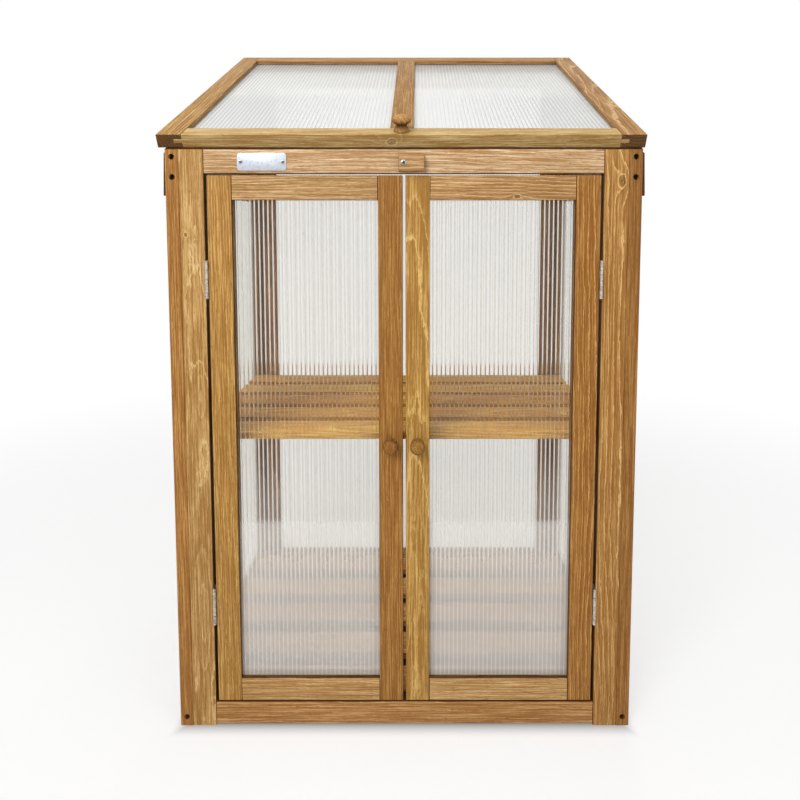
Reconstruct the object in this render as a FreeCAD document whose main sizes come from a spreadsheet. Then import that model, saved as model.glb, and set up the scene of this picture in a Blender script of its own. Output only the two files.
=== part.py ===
import FreeCAD, Part
import os
import Sketcher

# Wooden mini greenhouse: a stained softwood cabinet with twin-wall glazing, two doors, a sloping
# hinged lid, a slatted shelf and a slatted base. X is the width, -Y the front, +Z up.
# The origin lies on the ground in the middle of the outer box.

SIZES = {
    # cabinet
    "frame_w": 736.0,          # outer faces of the side posts
    "frame_d": 510.0,          # front face to rear face
    "front_h": 937.0,          # top of the frame at its front face
    "lid_slope": 25.6,         # degrees, up towards the rear
    "board_t": 21.0,           # thickness of all framing timber
    "rail_w": 38.0,            # width of stiles and rails
    "head_w": 36.5,            # width of the front top rail
    "rear_sill_w": 24.0,       # width of the rear bottom rail
    "post_d": 45.0,            # side posts, measured front to back
    "slope_rail_w": 88.0,      # side rail under the lid, square to the slope
    "ground_gap": 3.0,         # air under the bottom rails
    "ease": 1.2,               # eased long edges
    "band_t": 12.0,            # board across the outside of each side
    "band_h": 70.0,
    "band_bevel": 5.0,         # bevel on its outer top edge
    "band_inset": 22.0,        # its ends stop short of the front and rear faces
    # glazing
    "groove_w": 6.0,
    "groove_d": 12.0,
    "pane_t": 4.0,
    "pane_play": 2.0,          # room left at the bottom of a groove
    "tongue_play": 0.3,        # room left around a tongue
    # shelf and base
    "shelf_top": 476.0,
    "shelf_front": 49.0,       # from the front face to the first slat
    "shelf_rear": 78.5,        # from the last slat to the rear face
    "shelf_gap": 22.5,         # between slats
    "shelf_slats": 5,
    "base_top": 43.7,
    "base_front": 21.5,
    "base_rear": 68.0,
    "base_gap": 32.0,
    "base_slats": 5,
    "slat_t": 12.0,
    "slat_end_gap": 0.5,
    "bearer": 20.0,            # square battens under the slats
    # doors
    "door_gap": 2.8,           # above and below the doors
    "hinge_gap": 4.5,          # between hinge stile and frame
    "centre_gap": 4.5,
    "knob_w": 24.0,
    "knob_l": 24.0,
    "knob_up": 474.0,          # height of the knobs above the ground
    # door hinges
    "hinge_l": 60.0,
    "hinge_low": 205.0,        # middle of the lower hinge
    "hinge_high": 736.0,
    "knuckle_r": 2.6,
    "knuckle_end": 0.4,        # air between neighbouring knuckles
    "pin_r": 1.1,
    "pin_play": 0.06,
    "leaf_t": 1.0,
    "leaf_w": 17.0,
    "knuckle_air": 0.3,        # knuckle to wood
    "leaf_screw_r": 1.5,
    "leaf_screw_l": 12.0,
    "leaf_head_r": 2.7,
    "leaf_head_t": 0.4,
    "leaf_screw_step": 20.0,   # between the three screws of a leaf
    # lid
    "lid_w": 750.0,
    "lid_offset": -3.5,        # the lid sits a little to the left
    "lid_gap": 1.5,            # lid to frame, square to the slope
    "lid_set_back": 3.6,       # front end, along the slope
    "lid_rear_air": 0.5,       # rear end to the plane of the rear face
    "lid_front_w": 32.0,
    "lid_side_w": 38.0,
    "lid_rear_w": 38.0,
    "mullion_w": 37.0,
    "lid_knob_w": 29.0,
    "lid_knob_h": 26.0,
    "lid_hinge_x": 240.0,      # from the middle to each lid hinge
    "lid_bolt_along": 356.0,   # bolt in the left edge, from the front end
    "bolt_r": 3.5,
    "bolt_h": 1.5,
    "bolt_shank_r": 1.8,
    "bolt_shank_l": 20.0,
    # turn button, name plate, frame screws
    "button_l": 40.0,
    "button_w": 25.0,
    "button_t": 11.0,
    "button_pivot": 8.4,       # pivot to the near end
    "button_drop": 21.0,       # pivot below the top of the front rail
    "button_air": 0.4,         # button to rail
    "button_bevel": 1.5,
    "button_screw_r": 2.2,
    "button_hole_play": 0.06,
    "button_head_r": 4.4,
    "button_head_t": 2.0,
    "button_screw_in": 15.0,   # screw length inside the rail
    "plate_w": 76.0,
    "plate_h": 27.0,
    "plate_t": 1.2,
    "plate_r": 5.0,
    "plate_in": 90.5,          # middle of the plate from the left end of the front rail
    "plate_drop": 19.0,        # middle of the plate below the top of the front rail
    "plate_screw_x": 32.5,
    "plate_head_r": 2.8,
    "plate_head_t": 1.2,
    "plate_screw_r": 1.2,
    "plate_screw_in": 8.0,
    "bore_r": 4.5,             # counterbore in the posts
    "bore_d": 9.0,
    "screw_r": 2.2,
    "screw_head_r": 4.0,
    "screw_head_t": 3.0,
    "screw_l": 60.0,
    "screw_upper": 11.0,       # screws below the top of the front post
    "screw_lower": 42.0,
    "rear_screw_upper": 24.0,  # screws below the front edge of the rear post's top
    "rear_screw_lower": 56.0,
    "screw_foot": 15.0,        # lowest screw above the ground
    "hole_play": 0.02,         # screw to its pilot hole
}

doc = FreeCAD.newDocument("mini_greenhouse")
sheet = doc.addObject("Spreadsheet::Sheet", "sz")
for row, (alias, number) in enumerate(SIZES.items(), start=1):
    sheet.set(f"A{row}", alias)
    sheet.set(f"B{row}", str(number))
    sheet.setAlias(f"B{row}", alias)
doc.recompute()

V = FreeCAD.Vector
SLOPE = "(sz.lid_slope * 1 deg)"
SIN = f"sin({SLOPE})"
COS = f"cos({SLOPE})"
TAN = f"tan({SLOPE})"

# The front face is placed so that the knob tips and the rear knuckles lie equally far from Y = 0.
PIN_OFF = "(sz.knuckle_r + sz.knuckle_air)"
FRONT = f"(-(sz.frame_d + {PIN_OFF} + sz.knuckle_r - sz.knob_l) / 2)"
REAR = f"({FRONT} + sz.frame_d)"
POST_IN = "(sz.frame_w / 2 - sz.board_t)"
STILE_IN = f"({POST_IN} - sz.rail_w)"
HEAD_Z = "(sz.front_h - sz.head_w)"
SILL_TOP = "(sz.ground_gap + sz.rail_w)"
GROOVE_V = "((sz.board_t - sz.groove_w) / 2)"
TONGUE_L = "(sz.groove_d - sz.tongue_play)"
PANE_IN = "(sz.groove_d - sz.pane_play)"

parts = []


def value(expression):
    """The number that an expression on the sheet gives."""
    result = sheet.evalExpression(expression)
    return float(getattr(result, "Value", result))


def keep(obj):
    """Hands in a finished piece: its label names its file."""
    parts.append(obj)
    return obj


def bind(obj, **sizes):
    """Binds each named property of the object to an expression on the sheet."""
    for prop, expression in sizes.items():
        obj.setExpression(prop, expression)
    return obj


def put(obj, x="0", y="0", z="0", turn=None, base=None):
    """Places an object at x, y, z, turned by (axis, degrees), within the frame 'base' if given."""
    rotation = FreeCAD.Rotation(*turn) if turn else FreeCAD.Rotation()
    if base:
        place = FreeCAD.Placement(V(value(x), value(y), value(z)), rotation)
        obj.Placement = base * place
        return obj
    obj.Placement = FreeCAD.Placement(V(), rotation)
    for axis, expression in (("x", x), ("y", y), ("z", z)):
        obj.setExpression(f"Placement.Base.{axis}", expression)
    return obj


def origin_plane(body, role):
    """One of the three origin planes of a body."""
    return [f for f in body.Origin.OriginFeatures if f.Role == role][0]


def sketch_outline(body, name, role, points, lift="0"):
    """Draws a closed outline with every corner dimensioned from the origin by an expression."""
    sketch = body.newObject("Sketcher::SketchObject", name)
    sketch.AttachmentSupport = [(origin_plane(body, role), "")]
    sketch.MapMode = "FlatFace"
    sketch.setExpression("AttachmentOffset.Base.z", lift)
    corners = [V(value(x), value(y), 0) for x, y in points]
    count = len(corners)
    for i in range(count):
        sketch.addGeometry(Part.LineSegment(corners[i], corners[(i + 1) % count]), False)
    for i in range(count):
        sketch.addConstraint(Sketcher.Constraint("Coincident", i, 2, (i + 1) % count, 1))
    for i, (x, y) in enumerate(points):
        for kind, expression in (("DistanceX", x), ("DistanceY", y)):
            datum = Sketcher.Constraint(kind, -1, 1, i, 1, value(expression))
            index = sketch.addConstraint(datum)
            sketch.setExpression(f"Constraints[{index}]", expression)
    return sketch


def pad(body, name, role, points, length, lift="0"):
    """Adds an outline to the body, pushed out along the plane's normal."""
    feature = body.newObject("PartDesign::Pad", name)
    feature.Profile = sketch_outline(body, f"{name}_outline", role, points, lift)
    feature.setExpression("Length", length)
    return feature


def pocket(body, name, role, points, length=None, lift="0"):
    """Takes an outline out of the body: along the normal for a length, or right through."""
    doc.recompute()
    before = body.Shape.Volume
    feature = body.newObject("PartDesign::Pocket", name)
    feature.Profile = sketch_outline(body, f"{name}_outline", role, points, lift)
    if length:
        feature.Reversed = True
        feature.setExpression("Length", length)
    else:
        feature.Type = "ThroughAll"
        feature.Midplane = True
    doc.recompute()
    if body.Shape.Volume >= before:
        raise RuntimeError(f"{body.Label}: {name} cuts nothing")
    return feature


def new_body(name):
    body = doc.addObject("PartDesign::Body", name)
    body.Label = name
    return body


def rectangle(u0, v0, u1, v1):
    return [(u0, v0), (u1, v0), (u1, v1), (u0, v1)]


def board_section(width, low, high):
    """Outline of a framing board: eased corners, with a glazing groove in its low or high edge."""
    e, t = "sz.ease", "sz.board_t"
    near, far = GROOVE_V, f"({GROOVE_V} + sz.groove_w)"
    points = [(e, "0"), (f"{width} - {e}", "0"), (width, e)]
    if high:
        deep = f"{width} - sz.groove_d"
        points += [(width, near), (deep, near), (deep, far), (width, far)]
    points += [(width, f"{t} - {e}"), (f"{width} - {e}", t), (e, t), ("0", f"{t} - {e}")]
    if low:
        points += [("0", far), ("sz.groove_d", far), ("sz.groove_d", near), ("0", near)]
    points += [("0", e)]
    return points


def board(name, axis, width, length, low=False, high=False, tongues=False):
    """A framing board along Z or X. Its width runs along X or Z and its thickness along +Y.

    'length' is the board between its shoulders, which start at the body's origin; tongues reach
    past both shoulders into the grooves of the boards that it meets.
    """
    body = new_body(name)
    upright = axis == "Z"
    role = "XY_Plane" if upright else "YZ_Plane"

    def mapped(points):
        return points if upright else [(v, u) for u, v in points]

    pad(body, "board", role, mapped(board_section(width, low, high)), length)
    if tongues:
        start = "sz.groove_d" if low else "0"
        end = f"{width} - sz.groove_d" if high else width
        thin = f"({GROOVE_V} + sz.tongue_play / 2)"
        thick = f"({GROOVE_V} + sz.groove_w - sz.tongue_play / 2)"
        full = f"{length} + 2 * {TONGUE_L}"
        pad(body, "tongues", role, mapped(rectangle(start, thin, end, thick)), full, f"-{TONGUE_L}")
    return keep(body)


def pane(name, width, height):
    """A flat twin-wall sheet, its lower left corner at the body's origin, centred in the grooves."""
    body = new_body(name)
    pad(body, "sheet", "XY_Plane", rectangle("0", "0", width, "sz.pane_t"), height)
    return keep(body)


def solid_box(name, x, y, z):
    box = doc.addObject("Part::Box", name)
    box.Label = name
    return bind(box, Length=x, Width=y, Height=z)


def cylinder(name, radius, height, x="0", y="0", z="0", turn=None, base=None):
    rod = doc.addObject("Part::Cylinder", name)
    bind(rod, Radius=radius, Height=height)
    return put(rod, x, y, z, turn, base)


def fuse(name, shapes):
    joined = doc.addObject("Part::MultiFuse", name)
    joined.Shapes = shapes
    return joined


def cut(name, base, tool):
    result = doc.addObject("Part::Cut", name)
    result.Base = base
    result.Tool = tool
    return result


def group(name, members):
    """Several separate solids of one kind under one name."""
    bundle = doc.addObject("Part::Compound", name)
    bundle.Label = name
    bundle.Links = members
    return keep(bundle)


TO_BACK = (V(1, 0, 0), -90)     # turns +Z to +Y
TO_FRONT = (V(1, 0, 0), 90)     # turns +Z to -Y
TO_RIGHT = (V(0, 1, 0), 90)     # turns +Z to +X
TO_LEFT = (V(0, 1, 0), -90)     # turns +Z to -X
ALONG_Y = (V(0, 0, 1), 90)      # turns +X to +Y and +Y to -X


# Side frames. Each has a front and a rear post, a bottom rail, a wide rail under the lid that
# follows its slope, a sheet in grooves, and a board across the outside. Two long screws in
# counterbores hold each end of the sloping rail, and one holds each end of the bottom rail.

def slope_top(y):
    """Height of the sloping top of the frame at a distance y behind the front face."""
    return f"(sz.front_h + ({y}) * {TAN})"


def cut_to_slope(body, y_start, depth):
    """Cuts the top of a body at the lid's slope; its own Y runs from y_start behind the front."""
    high = f"{slope_top(f'{y_start} + {depth}')} + 50"
    near = slope_top(f"{y_start} - 1")
    far = slope_top(f"{y_start} + {depth} + 1")
    outline = [("-1", near), (f"{depth} + 1", far), (f"{depth} + 1", high), ("-1", high)]
    pocket(body, "slope", "YZ_Plane", outline)


def post_section(groove_back):
    """Outline of a side post: thickness along X, depth along Y, groove in its rear or front edge."""
    return [(v, u) for u, v in board_section("sz.post_d", not groove_back, groove_back)]


REAR_POST = "(sz.frame_d - sz.post_d)"
SIDE_RAIL_L = "(sz.frame_d - 2 * sz.post_d)"
SCREW_ROWS = ("sz.front_h - sz.screw_upper", "sz.front_h - sz.screw_lower", "sz.screw_foot")
HEAD_Y = "(sz.bore_d - sz.screw_head_t)"

for side, sign in (("left", -1), ("right", 1)):
    post_x = f"({sign} * (sz.frame_w - sz.board_t) / 2 - sz.board_t / 2)"
    for end, y0 in (("front", "0"), ("rear", REAR_POST)):
        post = new_body(f"{side}_{end}_post")
        top = f"{slope_top(f'{y0} + sz.post_d')} + 10"
        pad(post, "post", "XY_Plane", post_section(end == "front"), top)
        cut_to_slope(post, y0, "sz.post_d")
        put(post, post_x, f"{FRONT} + {y0}")
        keep(post)

    sill = board(f"{side}_side_sill", "X", "sz.rail_w", SIDE_RAIL_L, high=True, tongues=True)
    put(sill, f"{post_x} + sz.board_t", f"{FRONT} + sz.post_d", "sz.ground_gap", ALONG_Y)

    # The sloping rail: its ends stand upright against the posts and its groove faces down.
    rail = new_body(f"{side}_slope_rail")
    fall = f"(sz.slope_rail_w / {COS})"
    start, stop = "sz.post_d", REAR_POST
    low_a, low_b = f"({slope_top(start)} - {fall})", f"({slope_top(stop)} - {fall})"
    outline = [(start, low_a), (stop, low_b), (stop, slope_top(stop)), (start, slope_top(start))]
    pad(rail, "rail", "YZ_Plane", outline, "sz.board_t")
    rise = f"(sz.groove_d / {COS})"
    over = f"1 * {TAN}"
    slot = [(f"{start} - 1", f"{low_a} - {over} - 5"), (f"{stop} + 1", f"{low_b} + {over} - 5"),
            (f"{stop} + 1", f"{low_b} + {over} + {rise}"), (f"{start} - 1", f"{low_a} - {over} + {rise}")]
    pocket(rail, "groove", "YZ_Plane", slot, "sz.groove_w", GROOVE_V)
    put(rail, post_x, FRONT)
    keep(rail)

    # The sheet reaches into the grooves of the posts, of the bottom rail and of the sloping rail.
    sheet_pane = new_body(f"{side}_side_pane")
    edge_a, edge_b = f"(sz.post_d - {PANE_IN})", f"({REAR_POST} + {PANE_IN})"
    pane_up = f"({PANE_IN} / {COS} - {fall})"
    foot = f"({SILL_TOP} - {PANE_IN})"
    outline = [(edge_a, foot), (edge_b, foot), (edge_b, f"{slope_top(edge_b)} + {pane_up}"),
               (edge_a, f"{slope_top(edge_a)} + {pane_up}")]
    pad(sheet_pane, "sheet", "YZ_Plane", outline, "sz.pane_t")
    put(sheet_pane, f"{post_x} + (sz.board_t - sz.pane_t) / 2", FRONT)
    keep(sheet_pane)

    # The outer board is level, with a bevel along its outer top edge.
    band = new_body(f"{side}_side_band")
    outer = [("0", "0"), (f"{sign} * sz.band_t", "0"),
             (f"{sign} * sz.band_t", "sz.band_h - sz.band_bevel"),
             (f"{sign} * (sz.band_t - sz.band_bevel)", "sz.band_h"), ("0", "sz.band_h")]
    feature = pad(band, "board", "XZ_Plane", outer, "sz.frame_d - 2 * sz.band_inset")
    feature.Reversed = True
    put(band, f"{sign} * sz.frame_w / 2", f"{FRONT} + sz.band_inset", "sz.front_h - sz.band_h")
    keep(band)

# Counterbores in the posts, pilot holes in the rails behind them, and the screws themselves.
BORED = ["left_front_post", "right_front_post", "left_rear_post", "right_rear_post",
         "left_side_sill", "right_side_sill", "left_slope_rail", "right_slope_rail"]
REAR_ROWS = (f"{slope_top(REAR_POST)} - sz.rear_screw_upper",
             f"{slope_top(REAR_POST)} - sz.rear_screw_lower", "sz.screw_foot")


def screw_places():
    """Each long screw of the side frames: its side's sign, its height, and its end of the frame."""
    for sign in (-1, 1):
        for end, rows in (("front", SCREW_ROWS), ("rear", REAR_ROWS)):
            for height in rows:
                yield sign, height, end


def long_screw(label, sign, height, end, spare):
    """Head and shank of a side screw, with 'spare' of radius added where it is the hole."""
    x = f"{sign} * (sz.frame_w - sz.board_t) / 2"
    y = f"{FRONT} + {HEAD_Y}" if end == "front" else f"{REAR} - {HEAD_Y}"
    turn = TO_BACK if end == "front" else TO_FRONT
    shank = cylinder(f"{label}_shank", f"sz.screw_r + {spare}", "sz.screw_l", x, y, height, turn)
    if spare == "0":
        head = cylinder(f"{label}_head", "sz.screw_head_r", "sz.screw_head_t", x, y, height, turn)
        return fuse(label, [shank, head])
    outward = TO_FRONT if end == "front" else TO_BACK
    inner = f"{FRONT} + sz.bore_d" if end == "front" else f"{REAR} - sz.bore_d"
    bore = cylinder(f"{label}_bore", "sz.bore_r", "sz.bore_d + 1", x, inner, height, outward)
    return fuse(label, [shank, bore])


screws = [long_screw(f"screw_{i}", *place, "0") for i, place in enumerate(screw_places())]
holes = [long_screw(f"hole_{i}", *place, "sz.hole_play") for i, place in enumerate(screw_places())]
group("frame_screws", screws)


def drilled(names, tools):
    """Cuts the tools out of finished pieces, which keep their names."""
    for name in names:
        solid = [p for p in parts if p.Label == name][0]
        solid.Label = f"{name}_blank"
        tool = fuse(f"{name}_tools", tools) if len(tools) > 1 else tools[0]
        bored = cut(f"{name}_drilled", solid, tool)
        bored.Label = name
        parts[parts.index(solid)] = bored


for sign, side in ((-1, "left"), (1, "right")):
    near = [h for h, place in zip(holes, screw_places()) if place[0] == sign]
    drilled([n for n in BORED if n.startswith(side)], near)


# Front frame: two stiles inside the side posts, with a rail above the doors and one below.

for side, sign in (("left", -1), ("right", 1)):
    stile = new_body(f"{side}_front_stile")
    top = f"{slope_top('sz.board_t')} + 10"
    pad(stile, "stile", "XY_Plane", board_section("sz.rail_w", False, False), top)
    cut_to_slope(stile, "0", "sz.board_t")
    put(stile, f"{sign} * ({POST_IN} - sz.rail_w / 2) - sz.rail_w / 2", FRONT)
    keep(stile)

# The upper edge of the top rail is planed to the slope of the lid, as the tops of the stiles are.
head = new_body("front_head_rail")
e, t = "sz.ease", "sz.board_t"
outline = [("0", e), (e, "0"), (f"{t} - {e}", "0"), (t, e), (t, f"sz.head_w + {t} * {TAN}"),
           ("0", "sz.head_w")]
pad(head, "rail", "YZ_Plane", outline, f"2 * {STILE_IN}")
put(head, f"-{STILE_IN}", FRONT, HEAD_Z)
keep(head)
front_sill = board("front_sill_rail", "X", "sz.rail_w", f"2 * {STILE_IN}")
put(front_sill, f"-{STILE_IN}", FRONT, "sz.ground_gap")


# Rear frame: grooved stiles and rails round one tall sheet. The top rail's upper edge is planed
# to the slope of the lid.

REAR_Y = f"({REAR} - sz.board_t)"
REAR_FACE = "(sz.frame_d - sz.board_t)"
REAR_HEAD = f"({slope_top(REAR_FACE)} - sz.rail_w)"
for side, sign in (("left", -1), ("right", 1)):
    stile = new_body(f"{side}_rear_stile")
    section = board_section("sz.rail_w", sign > 0, sign < 0)
    pad(stile, "stile", "XY_Plane", section, f"{slope_top('sz.frame_d')} + 10")
    cut_to_slope(stile, REAR_FACE, "sz.board_t")
    put(stile, f"{sign} * ({POST_IN} - sz.rail_w / 2) - sz.rail_w / 2", REAR_Y)
    keep(stile)

REAR_SILL_TOP = "(sz.ground_gap + sz.rear_sill_w)"
rear_sill = board("rear_sill_rail", "X", "sz.rear_sill_w", f"2 * {STILE_IN}", high=True, tongues=True)
put(rear_sill, f"-{STILE_IN}", REAR_Y, "sz.ground_gap")

rear_head = new_body("rear_head_rail")
far = f"({GROOVE_V} + sz.groove_w)"
outline = [("0", "0"), (GROOVE_V, "0"), (GROOVE_V, "sz.groove_d"), (far, "sz.groove_d"), (far, "0"),
           ("sz.board_t", "0"), ("sz.board_t", f"sz.rail_w + sz.board_t * {TAN}"), ("0", "sz.rail_w")]
pad(rear_head, "rail", "YZ_Plane", outline, f"2 * {STILE_IN}")
thin, thick = f"({GROOVE_V} + sz.tongue_play / 2)", f"({far} - sz.tongue_play / 2)"
pad(rear_head, "tongues", "YZ_Plane", rectangle(thin, "sz.groove_d", thick, "sz.rail_w"),
    f"2 * ({STILE_IN} + {TONGUE_L})", f"-{TONGUE_L}")
put(rear_head, f"-{STILE_IN}", REAR_Y, REAR_HEAD)
keep(rear_head)

rear_pane = pane("rear_pane", f"2 * ({STILE_IN} + {PANE_IN})",
                 f"{REAR_HEAD} - {REAR_SILL_TOP} + 2 * {PANE_IN}")
put(rear_pane, f"-({STILE_IN} + {PANE_IN})", f"{REAR_Y} + (sz.board_t - sz.pane_t) / 2",
    f"{REAR_SILL_TOP} - {PANE_IN}")


# Slatted shelf and slatted base: loose-laid slats on a batten at each side.

SLAT_L = f"(2 * ({POST_IN} - sz.slat_end_gap))"
for tier in ("shelf", "base"):
    slats = []
    span = f"(sz.frame_d - sz.{tier}_front - sz.{tier}_rear)"
    slat_w = f"(({span} + sz.{tier}_gap) / sz.{tier}_slats - sz.{tier}_gap)"
    for i in range(int(value(f"sz.{tier}_slats"))):
        slat = solid_box(f"{tier}_slat_{i}", SLAT_L, slat_w, "sz.slat_t")
        step = f"sz.{tier}_front + {i} * ({slat_w} + sz.{tier}_gap)"
        slats.append(put(slat, f"-{SLAT_L} / 2", f"{FRONT} + {step}", f"sz.{tier}_top - sz.slat_t"))
    group(f"{tier}_slats", slats)
    bearers = []
    for sign in (-1, 1):
        bearer = solid_box(f"{tier}_bearer_{sign + 1}", "sz.bearer",
                           "sz.frame_d - 2 * sz.board_t", "sz.bearer")
        x = f"{sign} * ({POST_IN} - sz.bearer / 2) - sz.bearer / 2"
        z = f"sz.{tier}_top - sz.slat_t - sz.bearer"
        bearers.append(put(bearer, x, f"{FRONT} + sz.board_t", z))
    group(f"{tier}_bearers", bearers)


# Framed leaves. A door is two grooved stiles that run full height, two rails with tongues
# between them and a sheet in the grooves.

KNOB_PROFILE = (
    # share of the knob's radius, share of its length from the foot
    (0.00, 0.00), (0.74, 0.00), (0.78, 0.06), (0.70, 0.14), (0.59, 0.26), (0.57, 0.38),
    (0.72, 0.50), (0.94, 0.62), (1.00, 0.71), (0.95, 0.81), (0.77, 0.91), (0.46, 0.975),
    (0.00, 1.00),
)


def knob(name, diameter, length):
    """A turned wooden knob about its own +Z: foot, neck and mushroom head from one outline."""
    body = new_body(name)
    feature = body.newObject("PartDesign::Revolution", "turning")
    points = [(f"{r} * {diameter} / 2", f"{h} * {length}") for r, h in KNOB_PROFILE]
    sketch = sketch_outline(body, "profile", "XZ_Plane", points)
    feature.Profile = sketch
    feature.ReferenceAxis = (sketch, ["V_Axis"])
    feature.Angle = 360
    return keep(body)


DOOR_OUT = f"({STILE_IN} - sz.hinge_gap)"
DOOR_W = f"({DOOR_OUT} - sz.centre_gap / 2)"
DOOR_Z = f"({SILL_TOP} + sz.door_gap)"
DOOR_H = f"({HEAD_Z} - sz.door_gap - {DOOR_Z})"
DOOR_RAIL_L = f"({DOOR_W} - 2 * sz.rail_w)"

for side, sign in (("left", -1), ("right", 1)):
    outer_x = f"(-{DOOR_OUT})" if sign < 0 else f"({DOOR_OUT} - sz.rail_w)"
    inner_x = "(-sz.centre_gap / 2 - sz.rail_w)" if sign < 0 else "(sz.centre_gap / 2)"
    rail_x = f"(-{DOOR_OUT} + sz.rail_w)" if sign < 0 else "(sz.centre_gap / 2 + sz.rail_w)"
    hinge_stile = board(f"{side}_door_hinge_stile", "Z", "sz.rail_w", DOOR_H, sign > 0, sign < 0)
    put(hinge_stile, outer_x, FRONT, DOOR_Z)
    lock_stile = board(f"{side}_door_lock_stile", "Z", "sz.rail_w", DOOR_H, sign < 0, sign > 0)
    put(lock_stile, inner_x, FRONT, DOOR_Z)
    for level, z in (("top", f"{DOOR_Z} + {DOOR_H} - sz.rail_w"), ("bottom", DOOR_Z)):
        low = level == "top"
        rail = board(f"{side}_door_{level}_rail", "X", "sz.rail_w", DOOR_RAIL_L, low, not low, True)
        put(rail, rail_x, FRONT, z)
    glazing = pane(f"{side}_door_pane", f"{DOOR_RAIL_L} + 2 * {PANE_IN}",
                   f"{DOOR_H} - 2 * sz.rail_w + 2 * {PANE_IN}")
    put(glazing, f"{rail_x} - {PANE_IN}", f"{FRONT} + (sz.board_t - sz.pane_t) / 2",
        f"{DOOR_Z} + sz.rail_w - {PANE_IN}")
    turned = knob(f"{side}_door_knob", "sz.knob_w", "sz.knob_l")
    put(turned, f"{inner_x} + sz.rail_w / 2", FRONT, "sz.knob_up", TO_FRONT)


# Lid: the same kind of frame laid on the slope. Its own X is the width, Y goes down into its
# thickness from the top face and Z runs up the slope from the front end.

LID_L = f"((sz.frame_d - sz.lid_rear_air + sz.lid_gap * {SIN}) / {COS} - sz.lid_set_back)"
lid_rise = value("sz.lid_gap + sz.board_t")
lid_frame = FreeCAD.Placement(
    V(value("sz.lid_offset"),
      value(FRONT) - lid_rise * value(SIN) + value(f"sz.lid_set_back * {COS}"),
      value("sz.front_h") + lid_rise * value(COS) + value(f"sz.lid_set_back * {SIN}")),
    FreeCAD.Rotation(V(1, 0, 0), value("sz.lid_slope") - 90),
)
LID_HALF = "(sz.lid_w / 2)"
LID_IN = f"({LID_HALF} - sz.lid_side_w)"
LID_CLEAR_L = f"({LID_L} - sz.lid_front_w - sz.lid_rear_w)"
LID_PANE_W = f"({LID_IN} - sz.mullion_w / 2)"

for side, sign in (("left", -1), ("right", 1)):
    rail = board(f"lid_{side}_rail", "Z", "sz.lid_side_w", LID_L, sign > 0, sign < 0)
    put(rail, f"-{LID_HALF}" if sign < 0 else LID_IN, base=lid_frame)
    glazing = pane(f"lid_{side}_pane", f"{LID_PANE_W} + 2 * {PANE_IN}",
                   f"{LID_CLEAR_L} + 2 * {PANE_IN}")
    put(glazing, f"-{LID_IN} - {PANE_IN}" if sign < 0 else f"sz.mullion_w / 2 - {PANE_IN}",
        "(sz.board_t - sz.pane_t) / 2", f"sz.lid_front_w - {PANE_IN}", base=lid_frame)

front_rail = board("lid_front_rail", "X", "sz.lid_front_w", f"2 * {LID_IN}", False, True, True)
put(front_rail, f"-{LID_IN}", base=lid_frame)
rear_rail = board("lid_rear_rail", "X", "sz.lid_rear_w", f"2 * {LID_IN}", True, False, True)
put(rear_rail, f"-{LID_IN}", z=f"{LID_L} - sz.lid_rear_w", base=lid_frame)
mullion = board("lid_mullion", "Z", "sz.mullion_w", LID_CLEAR_L, True, True, True)
put(mullion, "-sz.mullion_w / 2", z="sz.lid_front_w", base=lid_frame)
lid_knob = knob("lid_knob", "sz.lid_knob_w", "sz.lid_knob_h")
put(lid_knob, z="sz.lid_front_w / 2", turn=TO_FRONT, base=lid_frame)

# The small bolt in the outer edge of the lid's left rail.
bolt_place = {"x": f"-{LID_HALF}", "y": "sz.board_t / 2", "z": "sz.lid_bolt_along"}
bolt_head = cylinder("bolt_head", "sz.bolt_r", "sz.bolt_h", **bolt_place,
                     turn=TO_LEFT, base=lid_frame)
bolt_shank = cylinder("bolt_shank", "sz.bolt_shank_r", "sz.bolt_shank_l", **bolt_place,
                      turn=TO_RIGHT, base=lid_frame)
bolt_hole = cylinder("bolt_hole", "sz.bolt_shank_r + sz.hole_play", "sz.bolt_shank_l", **bolt_place,
                     turn=TO_RIGHT, base=lid_frame)
bolt = fuse("lid_edge_bolt", [bolt_head, bolt_shank])
keep(bolt)
drilled(["lid_left_rail"], [bolt_hole])


# Butt hinges of four knuckles on a pin. In its own axes a hinge has its pin along Z through the
# origin, and each leaf reaches from it towards +Y. The fixed half holds the pin.

KNUCKLE_L = "(sz.hinge_l / 4)"
SCREW_STEPS = (-1, 0, 1)


def leaf_screws(label, wood_x, into, middle, spare=None):
    """The three screws of a leaf, from the wood's face at wood_x, or their holes with 'spare'."""
    rods = []
    turn = TO_RIGHT if into > 0 else TO_LEFT
    face = f"{wood_x} - {into} * sz.leaf_t"
    for step in SCREW_STEPS:
        z = f"{step} * sz.leaf_screw_step"
        radius = f"sz.leaf_screw_r + {spare}" if spare else "sz.leaf_screw_r"
        length = "sz.leaf_screw_l + sz.leaf_t"
        rods.append(cylinder(f"{label}_screw", radius, length, face, middle, z, turn))
        if not spare:
            head_x = f"{face} - {into} * sz.leaf_head_t"
            rods.append(cylinder(f"{label}_head", "sz.leaf_head_r", "sz.leaf_head_t + 0.2",
                                 head_x, middle, z, turn))
    return rods


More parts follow.
